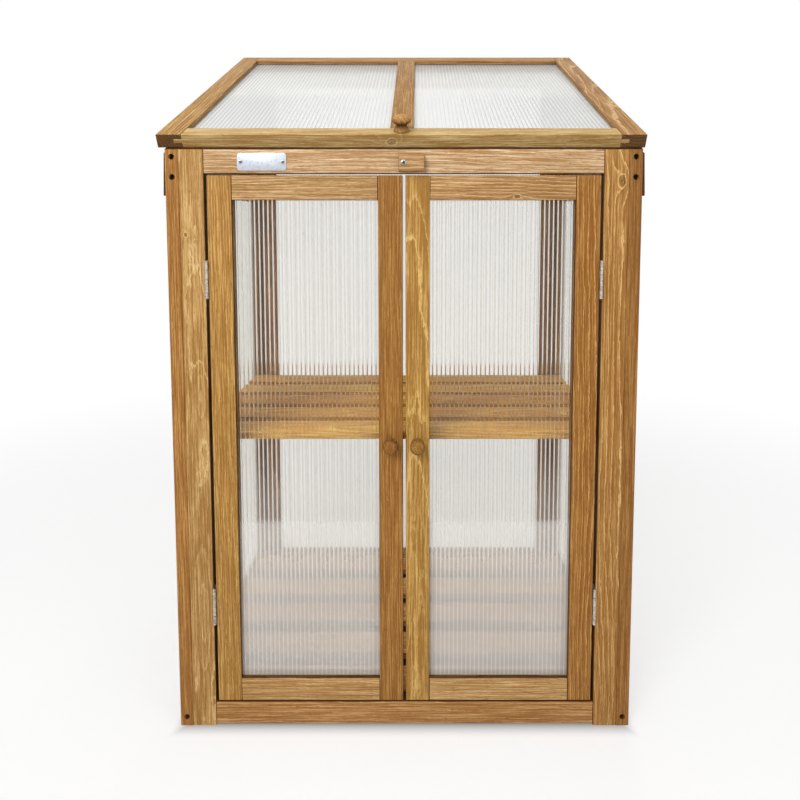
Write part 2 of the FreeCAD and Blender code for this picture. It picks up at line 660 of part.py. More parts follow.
def hinge_half(label, wood_x, into, leaf_start, first, holds_pin):
    """One leaf with its screws and two of the knuckles, as one solid.

    wood_x is the face of the wood that the leaf lies on and 'into' the side that the wood is on.
    The leaf's fixed part starts at leaf_start. 'first' gives it the first and third knuckle.
    """
    low_x = f"{wood_x} - sz.leaf_t" if into > 0 else wood_x
    leaf = solid_box(f"{label}_leaf", "sz.leaf_t", f"{leaf_start} + sz.leaf_w", "sz.hinge_l")
    put(leaf, low_x, "0", "-sz.hinge_l / 2")
    knuckles, slots = [], []
    for i in range(4):
        z = f"(-sz.hinge_l / 2 + {i} * {KNUCKLE_L})"
        if (i % 2 == 0) == first:
            knuckles.append(cylinder(f"{label}_knuckle", "sz.knuckle_r",
                                     f"{KNUCKLE_L} - sz.knuckle_end", z=f"{z} + sz.knuckle_end / 2"))
        else:
            slot = solid_box(f"{label}_slot", "4 * sz.knuckle_r", f"2 * {PIN_OFF}", KNUCKLE_L)
            slots.append(put(slot, "-2 * sz.knuckle_r", f"-{PIN_OFF}", z))
    trimmed = cut(f"{label}_trimmed", leaf, fuse(f"{label}_slots", slots))
    members = [trimmed, *knuckles, *leaf_screws(label, wood_x, into, f"{leaf_start} + sz.leaf_w / 2")]
    if holds_pin:
        members.append(cylinder(f"{label}_pin", "sz.pin_r", "sz.hinge_l", z="-sz.hinge_l / 2"))
        return fuse(f"{label}_half", members)
    bore = cylinder(f"{label}_bore", "sz.pin_r + sz.pin_play", "2 * sz.hinge_l", z="-sz.hinge_l")
    return cut(f"{label}_half", fuse(f"{label}_joined", members), bore)


def leaf_holes(label, wood_x, into, leaf_start):
    """Pilot holes for the screws of a leaf."""
    middle = f"{leaf_start} + sz.leaf_w / 2"
    return fuse(label, leaf_screws(label, wood_x, into, middle, "sz.hole_play"))


def stand(source, x, y, z, turn=None, flip=False):
    """A copy of a hinge piece at its place, first mirrored left to right where 'flip' is set."""
    if flip:
        twin = doc.addObject("Part::Mirroring", f"{source.Name}_twin")
        twin.Source = source
        twin.Normal = V(1, 0, 0)
        source = twin
    copy = doc.addObject("Part::Compound", f"{source.Name}_at")
    copy.Links = [source]
    return put(copy, x, y, z, turn)


# Door hinges. The pin stands in front of the middle of the gap; both leaves lie inside the gap.
GAP_HALF = "(sz.hinge_gap / 2)"
DOOR_PIN_X = f"({STILE_IN} - {GAP_HALF})"
DOOR_PIN_Y = f"({FRONT} - {PIN_OFF})"
door_fixed = hinge_half("door_fixed", GAP_HALF, 1, PIN_OFF, True, True)
door_moving = hinge_half("door_moving", f"-{GAP_HALF}", -1, PIN_OFF, False, False)
door_fixed_holes = leaf_holes("door_fixed_holes", GAP_HALF, 1, PIN_OFF)
door_moving_holes = leaf_holes("door_moving_holes", f"-{GAP_HALF}", -1, PIN_OFF)
for side, sign in (("left", -1), ("right", 1)):
    places = [(f"{sign} * {DOOR_PIN_X}", DOOR_PIN_Y, f"sz.hinge_{spot}") for spot in ("low", "high")]

    def at_both(piece):
        return [stand(piece, *place, flip=sign < 0) for place in places]

    group(f"{side}_door_hinges_fixed", at_both(door_fixed))
    group(f"{side}_door_hinges_moving", at_both(door_moving))
    drilled([f"{side}_front_stile"], at_both(door_fixed_holes))
    drilled([f"{side}_door_hinge_stile"], at_both(door_moving_holes))

# Lid hinges lie along X behind the rear top rail. The pin is as far from the rear face of the
# frame as from the rear end of the lid, and one leaf lies on each of these faces.
LID_PIN_Y = f"({REAR} + {PIN_OFF})"
LID_PIN_Z = (f"(sz.front_h + (sz.frame_d - sz.lid_rear_air) * {TAN} + sz.lid_gap / {COS}"
             f" + ({PIN_OFF} - ({PIN_OFF} + sz.lid_rear_air) * {COS}) / {SIN})")
UP_SLOPE = V(0, value(COS), value(SIN))
OFF_SLOPE = V(0, -value(SIN), value(COS))
ON_WALL = (V(0, 1, 0), V(0, 0, -1), V(-1, 0, 0), "XYZ")
ON_LID = (UP_SLOPE, OFF_SLOPE, V(1, 0, 0), "XYZ")
lid_fixed = hinge_half("lid_fixed", f"-{PIN_OFF}", -1, "0", True, True)
lid_moving = hinge_half("lid_moving", f"-{PIN_OFF}", -1, "0", True, False)
lid_holes = leaf_holes("lid_holes", f"-{PIN_OFF}", -1, "0")
places = [(f"{sign} * sz.lid_hinge_x", LID_PIN_Y, LID_PIN_Z) for sign in (-1, 1)]
group("lid_hinges_fixed", [stand(lid_fixed, *place, ON_WALL) for place in places])
group("lid_hinges_moving", [stand(lid_moving, *place, ON_LID) for place in places])
drilled(["rear_head_rail"], [stand(lid_holes, *place, ON_WALL) for place in places])
drilled(["lid_rear_rail"], [stand(lid_holes, *place, ON_LID) for place in places])


# Turn button: a wooden block on one screw in the front head rail. It is drawn turned aside,
# pointing to the right; turned down by a quarter it holds both doors shut.

def face_screw(label, x, z, back, head_r, head_t, shank_r, inside):
    """A screw driven straight back into the front, its head's underside at 'back'."""
    head = doc.addObject("Part::Cone", f"{label}_head")
    bind(head, Radius1=head_r, Radius2=f"{head_r} * 0.6", Height=head_t)
    put(head, x, back, z, TO_FRONT)
    shank = cylinder(f"{label}_shank", shank_r, f"({FRONT}) - ({back}) + {inside}", x, back, z, TO_BACK)
    return fuse(label, [head, shank])


BUTTON_Z = "(sz.front_h - sz.button_drop)"
BUTTON_BACK = f"({FRONT} - sz.button_air)"
BUTTON_FACE = f"({BUTTON_BACK} - sz.button_t)"
b, low, high = "sz.button_bevel", "-sz.button_w / 2", "sz.button_w / 2"
near, far = "-sz.button_pivot", "sz.button_l - sz.button_pivot"
block = new_body("turn_button_block")
outline = [(f"{near} + {b}", low), (f"{far} - {b}", low), (far, f"{low} + {b}"),
           (far, f"{high} - {b}"), (f"{far} - {b}", high), (f"{near} + {b}", high),
           (near, f"{high} - {b}"), (near, f"{low} + {b}")]
pad(block, "block", "XZ_Plane", outline, "sz.button_t")
put(block, y=BUTTON_BACK, z=BUTTON_Z)
bore = cylinder("button_bore", "sz.button_screw_r + sz.button_hole_play", "3 * sz.button_t",
                y=f"{BUTTON_BACK} - 2 * sz.button_t", z=BUTTON_Z, turn=TO_BACK)
keep(cut("turn_button", block, bore))
button_screw = face_screw("turn_button_screw", "0", BUTTON_Z, f"({BUTTON_FACE} - sz.button_air)",
                          "sz.button_head_r", "sz.button_head_t", "sz.button_screw_r",
                          "sz.button_screw_in")
keep(button_screw)
pilot_r = "sz.button_screw_r + sz.hole_play"
pilots = [cylinder("button_pilot", pilot_r, "sz.button_screw_in", y=FRONT, z=BUTTON_Z, turn=TO_BACK)]


# Name plate: a bare metal plate with rounded corners and a small screw at each end.

PLATE_Z = "(sz.front_h - sz.plate_drop)"
PLATE_X = f"(sz.plate_in - {STILE_IN})"
members = []
for reach_x, reach_z in (("0", "sz.plate_r"), ("sz.plate_r", "0")):
    slab = solid_box("plate_slab", f"sz.plate_w - 2 * {reach_x}", "sz.plate_t",
                     f"sz.plate_h - 2 * {reach_z}")
    members.append(put(slab, f"{PLATE_X} - sz.plate_w / 2 + {reach_x}", f"{FRONT} - sz.plate_t",
                       f"{PLATE_Z} - sz.plate_h / 2 + {reach_z}"))
for sx in (-1, 1):
    for up in (-1, 1):
        members.append(cylinder("plate_corner", "sz.plate_r", "sz.plate_t",
                                f"{PLATE_X} + {sx} * (sz.plate_w / 2 - sz.plate_r)",
                                FRONT,
                                f"{PLATE_Z} + {up} * (sz.plate_h / 2 - sz.plate_r)", TO_FRONT))
plate_screws, plate_holes = [], []
for sx in (-1, 1):
    x = f"{PLATE_X} + {sx} * sz.plate_screw_x"
    plate_screws.append(face_screw(f"plate_screw_{sx + 1}", x, PLATE_Z, f"({FRONT} - sz.plate_t)",
                                   "sz.plate_head_r", "sz.plate_head_t", "sz.plate_screw_r",
                                   "sz.plate_screw_in"))
    plate_holes.append(cylinder("plate_hole", "sz.plate_screw_r + sz.hole_play",
                                "sz.plate_screw_in + sz.plate_t", x, f"{FRONT} - sz.plate_t", PLATE_Z,
                                TO_BACK))
plate = fuse("name_plate_blank", members)
plate.Refine = True
keep(cut("name_plate", plate, fuse("plate_bores", plate_holes)))
group("name_plate_screws", plate_screws)
drilled(["front_head_rail"], pilots + plate_holes)


doc.recompute()
faults = [o.Label for o in doc.Objects if "Invalid" in o.State or "Error" in o.State]
if faults:
    raise RuntimeError(f"not computed: {faults}")
os.makedirs("parts", exist_ok=True)
for part in parts:
    if part.Shape.isNull() or not part.Shape.isValid():
        raise RuntimeError(f"bad shape: {part.Label}")
    part.Shape.exportStep(f"parts/{part.Label}.step")
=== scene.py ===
import math

import bpy
import numpy as np
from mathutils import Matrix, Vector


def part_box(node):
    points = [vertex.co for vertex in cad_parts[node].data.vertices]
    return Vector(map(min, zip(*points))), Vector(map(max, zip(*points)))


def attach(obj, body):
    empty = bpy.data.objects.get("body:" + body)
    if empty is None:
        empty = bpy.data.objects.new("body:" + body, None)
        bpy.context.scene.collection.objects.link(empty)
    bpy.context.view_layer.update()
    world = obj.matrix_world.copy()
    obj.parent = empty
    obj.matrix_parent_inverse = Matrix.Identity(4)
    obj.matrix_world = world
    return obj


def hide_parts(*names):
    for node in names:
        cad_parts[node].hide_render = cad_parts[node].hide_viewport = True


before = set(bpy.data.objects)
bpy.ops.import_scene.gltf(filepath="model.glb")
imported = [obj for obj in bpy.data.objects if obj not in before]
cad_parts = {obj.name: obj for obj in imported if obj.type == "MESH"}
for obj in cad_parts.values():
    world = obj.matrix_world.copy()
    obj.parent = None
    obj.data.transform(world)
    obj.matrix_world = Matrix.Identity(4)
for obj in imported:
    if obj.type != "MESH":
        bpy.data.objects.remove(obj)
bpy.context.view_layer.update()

# Side frames. Each is a front and a rear post, a bottom rail and a wide rail that follows the lid's
# slope, all planed softwood 21 mm thick, dipped in a honey-coloured stain and grooved for the
# glazing. Long screws, sunk in counterbores in the posts, hold the rails.

X, Y, Z = np.eye(3)
SLOPE = math.radians(25.6)
RISE = math.tan(SLOPE)
UP_SLOPE = np.array([0, math.cos(SLOPE), math.sin(SLOPE)])
OFF_SLOPE = np.array([0, -math.sin(SLOPE), math.cos(SLOPE)])
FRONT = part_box("front_head_rail")[0].y
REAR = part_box("rear_head_rail")[1].y
THICK = 0.021
RAIL = 0.038
EASE = 0.0012
GROOVE = 0.006
GROOVE_DEEP = 0.012
TONGUE = 0.0117
JOINT = 0.0006


def board_outline(width, thick, low_groove=False, high_groove=False, ease=EASE):
    """The board's section: a rectangle whose corners are quarter circles of radius 'ease', with a
    square notch in the middle of its low or high edge where it is grooved."""
    turn = np.linspace(0, math.pi / 2, 5)
    arc = np.stack([np.cos(turn), np.sin(turn)], axis=1) * ease
    corners = []
    centres = ((width - ease, ease), (width - ease, thick - ease), (ease, thick - ease),
               (ease, ease))
    for quarter, centre in zip((3, 0, 1, 2), centres):
        a = quarter * math.pi / 2
        spin = np.array([[math.cos(a), math.sin(a)], [-math.sin(a), math.cos(a)]])
        corners.append(arc @ spin + centre)
    near, far = (thick - GROOVE) / 2, (thick + GROOVE) / 2
    high = np.array([(width, near), (width - GROOVE_DEEP, near),
                     (width - GROOVE_DEEP, far), (width, far)])
    low = np.array([(0, far), (GROOVE_DEEP, far), (GROOVE_DEEP, near), (0, near)])
    rows = [corners[0], high if high_groove else high[:0], corners[1], corners[2],
            low if low_groove else low[:0], corners[3]]
    return np.concatenate(rows)


def outward(outline):
    """Unit normals of a closed outline: the mean of the two edge normals at each corner."""
    edge = np.roll(outline, -1, axis=0) - outline
    normal = np.stack([edge[:, 1], -edge[:, 0]], axis=1)
    normal /= np.linalg.norm(normal, axis=1, keepdims=True) + 1e-12
    mean = normal + np.roll(normal, 1, axis=0)
    return mean / (np.linalg.norm(mean, axis=1, keepdims=True) + 1e-12)


def carried(outline, origin, axes, length, lean_start=(0, 0), lean_end=(0, 0), ease=0.0008):
    """A closed outline carried straight along a path, as (points, faces).

    P(k, s) = origin + x(k) across + y(k) through + s along. The end rings follow a quarter circle
    of radius 'ease', and each end leans: its s grows by lean . (x(k), y(k)).
    """
    across, through, along = axes
    bend = np.linspace(0, math.pi / 2, 4)
    inset = ease * (1 - np.sin(bend))
    step = ease * (1 - np.cos(bend))
    first = outline[None] - inset[:, None, None] * outward(outline)[None]
    rings = np.concatenate([first, first[::-1]])
    s = np.concatenate([step[:, None] + first @ np.asarray(lean_start, float),
                        length - step[::-1, None] + first[::-1] @ np.asarray(lean_end, float)])
    points = (np.asarray(origin, float) + rings[..., :1] * across + rings[..., 1:] * through
              + s[..., None] * along)
    count, size = rings.shape[:2]
    index = np.arange(count * size).reshape(count, size)
    a, b = index[:-1], index[1:]
    quads = np.stack([a, np.roll(a, -1, axis=1), np.roll(b, -1, axis=1), b], axis=-1).reshape(-1, 4)
    faces = quads.tolist() + [index[0, ::-1].tolist(), index[-1].tolist()]
    if np.dot(np.cross(across, through), along) < 0:
        faces = [face[::-1] for face in faces]
    return points.reshape(-1, 3), faces


def piece(name, shells, body, nodes, materials):
    """Joins shells of (points, faces) or (points, faces, material number or numbers) into one
    object that rides on a body and stands for the named CAD nodes."""
    points, faces, slots, start = [], [], [], 0
    for shell in shells:
        points.append(shell[0])
        faces += [[start + i for i in face] for face in shell[1]]
        number = shell[2] if len(shell) > 2 else 0
        slots += number if isinstance(number, list) else [number] * len(shell[1])
        start += len(shell[0])
    mesh = bpy.data.meshes.new(name)
    mesh.from_pydata(np.concatenate(points).tolist(), [], faces)
    for material in materials:
        mesh.materials.append(material)
    mesh.polygons.foreach_set("material_index", slots)
    mesh.update()
    mesh.shade_smooth()
    mesh.set_sharp_from_angle(angle=math.radians(40))
    obj = bpy.data.objects.new(name, mesh)
    bpy.context.scene.collection.objects.link(obj)
    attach(obj, body)
    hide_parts(*nodes)


def blank(name):
    """A new material and its empty node tree."""
    material = bpy.data.materials.new(name)
    material.use_nodes = True
    material.node_tree.nodes.clear()
    return material, material.node_tree


def linear(red, green, blue):
    """A display colour of 0 to 255 as linear light, by the sRGB curve."""
    c = np.array([red, green, blue]) / 255
    return (*np.where(c <= 0.04045, c / 12.92, ((c + 0.055) / 1.055) ** 2.4).tolist(), 1.0)


def node(tree, kind, sockets=None, **settings):
    """Adds a shader node. A socket's entry is either a value or the output that feeds it."""
    made = tree.nodes.new("ShaderNode" + kind)
    for key, setting in settings.items():
        setattr(made, key, setting)
    for key, entry in (sockets or {}).items():
        if isinstance(entry, bpy.types.NodeSocket):
            tree.links.new(entry, made.inputs[key])
        else:
            made.inputs[key].default_value = entry
    return made


def calc(tree, operation, *entries):
    """The result of one Math node fed with values or outputs."""
    return node(tree, "Math", dict(enumerate(entries)), operation=operation).outputs[0]


def vector(tree, operation, *entries):
    """The result of one Vector Math node: a number for a dot product or a length."""
    made = node(tree, "VectorMath", dict(enumerate(entries)), operation=operation)
    return made.outputs["Value" if operation in ("DOT_PRODUCT", "LENGTH") else "Vector"]


def bell(tree, away, sharpness):
    """A swelling of height one: e to the power of minus sharpness times the distance squared."""
    squared = calc(tree, "MULTIPLY", away, away)
    return calc(tree, "POWER", 2.718, calc(tree, "MULTIPLY", squared, -sharpness))


def ramp(tree, factor, stops):
    """A smooth ramp of grey through (place, height) stops."""
    made = node(tree, "ValToRGB", {"Fac": factor})
    made.color_ramp.interpolation = "EASE"
    while len(made.color_ramp.elements) < len(stops):
        made.color_ramp.elements.new(0.5)
    for element, (place, height) in zip(made.color_ramp.elements, stops):
        element.position = place
        element.color = (height, height, height, 1)
    return made.outputs["Color"]


def mix(tree, factor, a, b):
    """Colour a turned towards colour b by the factor."""
    return node(tree, "Mix", {0: factor, 6: a, 7: b}, data_type="RGBA").outputs[2]


def noise(tree, place, scale, detail=2.0, rough=0.5):
    """Noise of a place, stretched by a scale for each axis."""
    scaled = vector(tree, "MULTIPLY", place, scale)
    return node(tree, "TexNoise", {"Vector": scaled, "Scale": 1.0, "Detail": detail,
                                   "Roughness": rough}).outputs


def shifted(tree, place, scale, reach, *detail):
    """A bend of the place by noise: each axis moves by its reach times the noise less a half."""
    middled = vector(tree, "SUBTRACT", noise(tree, place, scale, *detail)["Color"], (0.5,) * 3)
    return vector(tree, "MULTIPLY", middled, reach)


def stained_softwood():
    """The wood as a node group, in board axes with z along the grain. The growth rings are
    cylinders about a pith: ring number = distance from the pith / ring width, where the distance
    is bent by slow noise and by the pith's tilt and swells round a knot."""
    tree = bpy.data.node_groups.new("stained_softwood", "ShaderNodeTree")
    for way, kind, names in (
            ("INPUT", "Vector", ("Place", "Seed", "Pith", "Tilt", "Knot", "Knot size")),
            ("INPUT", "Float", ("End", "Edge", "Ring", "Figure", "Swell")),
            ("INPUT", "Color", ("Tone", "Deep", "Pale")),
            ("OUTPUT", "Color", ("Color",)),
            ("OUTPUT", "Float", ("Roughness", "Height"))):
        for name in names:
            tree.interface.new_socket(name, in_out=way, socket_type="NodeSocket" + kind)
    given = tree.nodes.new("NodeGroupInput").outputs
    result = tree.nodes.new("NodeGroupOutput")
    place = given["Place"]
    seeded = vector(tree, "ADD", place, given["Seed"])

    # how far from the knot, in knot sizes, and the swelling of the rings round it
    off_knot = vector(tree, "SUBTRACT", place, given["Knot"])
    away = vector(tree, "LENGTH", vector(tree, "MULTIPLY", off_knot, given["Knot size"]))
    uneven = noise(tree, seeded, (240.0, 240.0, 150.0), 2.0, 0.6)["Fac"]
    away = calc(tree, "ADD", away, calc(tree, "MULTIPLY", calc(
        tree, "SUBTRACT", uneven, 0.5), 0.55))
    swell = bell(tree, away, 0.3)

    drift = shifted(tree, seeded, (9.0, 9.0, 2.2), (0.02, 0.026, 0.0), 1.5)
    wobble = shifted(tree, seeded, (60.0, 60.0, 11.0), (0.006, 0.006, 0.0), 2.0)
    ragged = shifted(tree, seeded, (330.0, 330.0, 85.0), (0.0022, 0.0022, 0.0), 2.0, 0.6)
    height = node(tree, "SeparateXYZ", {0: place}).outputs[2]
    lean = vector(tree, "MULTIPLY", given["Tilt"], node(
        tree, "CombineXYZ", {0: height, 1: height}).outputs[0])
    bent = vector(tree, "SUBTRACT", place, given["Pith"])
    for bend in (lean, drift, wobble, ragged):
        bent = vector(tree, "ADD", bent, bend)
    radius = vector(tree, "LENGTH", vector(tree, "MULTIPLY", bent, (1.0, 1.0, 0.0)))
    radius = calc(tree, "ADD", radius, calc(tree, "MULTIPLY", swell, 0.007))
    radius = calc(tree, "ADD", radius, given["Swell"])
    count = calc(tree, "DIVIDE", radius, given["Ring"])
    ring = calc(tree, "FRACT", count)
    early = ramp(tree, ring, ((0.08, 0.0), (0.5, 0.3), (0.87, 1.0), (0.95, 0.0)))
    late = ramp(tree, ring, ((0.0, 0.9), (0.09, 0.2), (0.2, 0.0), (0.91, 0.0), (0.97, 1.0)))
    strength = node(tree, "TexWhiteNoise", {"W": calc(tree, "FLOOR", calc(
        tree, "ADD", count, 0.08))}, noise_dimensions="1D").outputs["Value"]
    strength = calc(tree, "MULTIPLY", calc(tree, "MULTIPLY_ADD", strength, 0.75, 0.3),
                    given["Figure"])

    wavy = vector(tree, "ADD", seeded, vector(tree, "MULTIPLY", ragged, (0.7, 0.7, 0.0)))
    fine = noise(tree, wavy, (430.0, 430.0, 10.0), 3.0, 0.7)["Fac"]
    fibre = noise(tree, seeded, (700.0, 700.0, 22.0), 2.0, 0.6)["Fac"]
    cloud = noise(tree, seeded, (26.0, 26.0, 5.0), 2.0)["Fac"]
    fleck = noise(tree, seeded, (1100.0, 1100.0, 90.0), 0.0)["Fac"]

    colour = mix(tree, ramp(tree, cloud, ((0.35, 0.0), (0.75, 0.5))), given["Tone"], given["Deep"])
    colour = mix(tree, calc(tree, "MULTIPLY", early, calc(tree, "MULTIPLY", strength, 0.75)),
                 colour, given["Deep"])
    colour = mix(tree, ramp(tree, fine, ((0.42, 0.85), (0.56, 0.0))), colour, given["Deep"])
    colour = mix(tree, ramp(tree, fine, ((0.50, 0.0), (0.68, 0.45))), colour, given["Pale"])
    colour = mix(tree, calc(tree, "MULTIPLY", late, calc(tree, "MULTIPLY", strength, 0.9)),
                 colour, given["Pale"])
    colour = mix(tree, ramp(tree, fibre, ((0.34, 0.5), (0.54, 0.0))), colour, given["Deep"])
    colour = mix(tree, ramp(tree, fleck, ((0.66, 0.0), (0.76, 0.4))), colour, linear(92, 50, 18))

    # the knot: a brown eye with its own rings inside a thin pale rim, fainter in plain wood
    clarity = calc(tree, "MINIMUM", calc(tree, "MULTIPLY", given["Figure"], 1.4), 1.0)
    eye = calc(tree, "MULTIPLY", ramp(tree, away, ((0.0, 1.0), (0.66, 0.7), (0.84, 0.0))), ramp(
        tree, calc(tree, "FRACT", calc(tree, "MULTIPLY", away, 3.2)),
        ((0.0, 0.45), (0.5, 1.0), (1.0, 0.5))))
    colour = mix(tree, calc(tree, "MULTIPLY", eye, calc(
        tree, "MULTIPLY", clarity, 0.9)), colour, linear(98, 58, 24))
    rim = ramp(tree, away, ((0.72, 0.0), (0.84, 0.8), (1.0, 0.0)))
    colour = mix(tree, calc(tree, "MULTIPLY", rim, clarity), colour, given["Pale"])

    # end grain drinks more stain; the darker edges are partly stain and partly painted shade
    soaked_and_shaded = mix(tree, early, linear(88, 56, 24), linear(55, 32, 12))
    colour = mix(tree, given["Edge"], colour, soaked_and_shaded)
    colour = mix(tree, given["End"], colour, soaked_and_shaded)

    tree.links.new(colour, result.inputs["Color"])
    tree.links.new(calc(tree, "ADD", calc(tree, "MULTIPLY", fine, 0.3), calc(
        tree, "MULTIPLY_ADD", early, 0.08, 0.38)), result.inputs["Roughness"])
    tree.links.new(calc(tree, "ADD", calc(tree, "MULTIPLY", late, 0.5), fibre),
                   result.inputs["Height"])
    return tree


wood_group = stained_softwood()
wood_seed = 0.0


def wood(name, origin, axes, tone=(190, 148, 98), pith=(0.09, -0.02), tilt=(0.01, 0.01),
         ring=0.005, figure=1.0, knot=None, knot_size=(0.004, 1e3, 0.006), edge=0.25, end=0.9,
         painted_shade_along=None, ovals=()):
    """Stained wood in the axes of one board: the place is the object's own coordinates less the
    board's origin, taken along its three directions by dot products. 'edge' darkens the faces that
    look across the board's width, as stain and as painted shade. Where stops of height along the
    grain and darkness are given, they set that darkening instead, as painted shade. 'ovals' gives
    where a swelling in the rings, with its middle and size, was sawn through and shows as closed
    ovals."""
    global wood_seed
    wood_seed += 3.71
    material, tree = blank(name)
    coords = node(tree, "TexCoord").outputs
    local = vector(tree, "SUBTRACT", coords["Object"], tuple(origin))
    place = node(tree, "CombineXYZ", {
        i: vector(tree, "DOT_PRODUCT", local, tuple(axis)) for i, axis in enumerate(axes)})
    # edge faces darken by 'edge', as stain and as painted shade; end grain darkens by 'end', as
    # stain
    facing = [ramp(tree, calc(tree, "ABSOLUTE", vector(
        tree, "DOT_PRODUCT", coords["Normal"], tuple(axes[i]))), ((0.6, 0.0), (0.9, share)))
        for i, share in ((0, edge), (2, end))]
    if painted_shade_along:
        along = node(tree, "SeparateXYZ", {0: place.outputs[0]}).outputs[2]
        facing[0] = ramp(tree, along, painted_shade_along)
    swell = 0.0
    for middle, size in ovals:
        away = vector(tree, "LENGTH", vector(tree, "DIVIDE", vector(
            tree, "SUBTRACT", place.outputs[0], middle), size))
        swell = calc(tree, "MULTIPLY_ADD", bell(tree, away, 1.0), 2.4 * ring, swell)
    tone = np.array(tone)
    shades = {"Tone": tone, "Deep": tone * (0.77, 0.69, 0.54),
              "Pale": np.minimum(tone * (1.20, 1.31, 1.50), 245)}
    grain = node(tree, "Group", node_tree=wood_group)
    values = {"Seed": (wood_seed,) * 3, "Pith": (*pith, 0.0), "Tilt": (*tilt, 0.0), "Ring": ring,
              "Figure": figure, "Knot": knot or (0.0, 0.0, -9.0),
              "Knot size": [1 / size for size in knot_size]}
    values.update({key: linear(*shade) for key, shade in shades.items()})
    for key, entry in values.items():
        grain.inputs[key].default_value = entry
    for key, entry in (("Place", place.outputs[0]), ("Edge", facing[0]), ("End", facing[1])):
        tree.links.new(entry, grain.inputs[key])
    if ovals:
        tree.links.new(swell, grain.inputs["Swell"])
    bump = node(tree, "Bump", {"Height": grain.outputs["Height"], "Strength": 0.3,
                               "Distance": 0.0003})
    shader = node(tree, "BsdfPrincipled", {
        "Base Color": grain.outputs["Color"], "Roughness": grain.outputs["Roughness"],
        "Normal": bump.outputs[0], "Specular IOR Level": 0.15})
    tree.links.new(shader.outputs[0], node(tree, "OutputMaterial").inputs[0])
    return material


def boxed(node_name, along, tongue=False):
    """Origin, directions and size of a straight board, from the box of its CAD node. Its width
    runs along Z or X and its thickness along Y or X; tongues are left off its length."""
    lowest, highest = (np.array(corner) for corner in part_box(node_name))
    axes = {"X": (Z, Y, X), "Z": (X, Y, Z), "Y": (Z, X, Y)}[along]
    size = [(highest - lowest) @ axis for axis in axes]
    if tongue:
        lowest = lowest + TONGUE * axes[2]
        size[2] -= 2 * TONGUE
    return lowest, axes, size


def board(name, origin, axes, size, body="frame", low=False, high=False, tongue=False,
          butt=False, lean_start=(0, 0), lean_end=(0, 0), planed=0.0, **look):
    """One framing board: its section carried along its length, and a tongue at either end as a
    thinner section that reaches past the shoulder. 'planed' tilts its upper edge: x grows by
    planed y."""
    width, thick, length = size
    outline = board_outline(width, thick, low, high)
    outline[:, 0] += planed * np.where(outline[:, 0] > width / 2, outline[:, 1], 0)
    joint = JOINT if tongue or butt else 0.0
    shells = [carried(outline, origin + joint * axes[2], axes, length - 2 * joint, lean_start,
                      lean_end, ease=JOINT if joint else 0.0008)]
    if tongue:
        thin = board_outline(width - (low + high) * GROOVE_DEEP - 0.0004, GROOVE - 0.0003,
                             ease=0.0003)
        thin += (low * GROOVE_DEEP + 0.0002, (thick - GROOVE + 0.0003) / 2)
        for start in (-TONGUE, length - 0.002):
            shells.append(carried(thin, origin + start * axes[2], axes, TONGUE + 0.002,
                                  ease=0.0003))
    material = wood(name + "_wood", origin, axes, **look)
    piece(name + "_board", shells, body, [name], [material])


SLOPE_RAIL = 0.088
POST_TONES = {"left_front_post": (182, 131, 70), "right_front_post": (164, 116, 60),
              "left_rear_post": (176, 128, 76), "right_rear_post": (176, 128, 76)}
for side, sign in (("left", -1), ("right", 1)):
    # the posts keep their CAD shape, which has the bores for the long screws
    for end in ("front", "rear"):
        name = f"{side}_{end}_post"
        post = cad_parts[name]
        post.data.materials.clear()
        post.data.materials.append(wood(
            name + "_wood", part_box(name)[0], (Y, X, Z), tone=POST_TONES[name], figure=0.45,
            ring=0.0045, pith=(0.03, 0.08 * sign), tilt=(0.0, 0.02), edge=0.0))
    board(f"{side}_side_sill", *boxed(f"{side}_side_sill", "Y", True), high=True, tongue=True,
          pith=(0.02, 0.06 * sign))
    lowest, highest = (np.array(corner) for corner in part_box(f"{side}_slope_rail"))
    board(f"{side}_slope_rail", lowest, (OFF_SLOPE, X, UP_SLOPE),
          (SLOPE_RAIL, THICK, (highest[1] - lowest[1]) / math.cos(SLOPE)), low=True,
          lean_start=(RISE, 0), lean_end=(RISE, 0), pith=(0.05, 0.05 * sign),
          tilt=(0.0, 0.05))

# The outer boards of the sides: level boards 70 mm high across the outside of the posts, with a
# bevel along the outer top edge. They are screwed on from inside.

BEVEL = 0.005

for side, sign in (("left", -1), ("right", 1)):
    name = f"{side}_side_band"
    lowest, axes, (high, thick, length) = boxed(name, "Y")
    outline = board_outline(high, thick)
    outer = outline[:, 1] if sign > 0 else thick - outline[:, 1]
    over = (outline[:, 0] - (high - BEVEL)) + (outer - (thick - BEVEL)) - BEVEL
    over = np.maximum(over, 0) / 2
    outline -= np.stack([over, sign * over], axis=1)
    band = carried(outline, lowest, axes, length)
    material = wood(name + "_wood", lowest, axes, tone=(172, 124, 76), pith=(0.03, 0.06 * sign),
                    tilt=(0.03, 0.04), ring=0.0046)
    piece(name + "_board", [band], "frame", [name], [material])

# The twin-wall glazing of the sides: a clear plastic sheet 4 mm thick, two thin walls joined by
# ribs every 7 mm that run upright. It stands in the grooves of its frame with a little play.

SHEET = 0.004
RIB_STEP = 0.007
RIB = 0.002


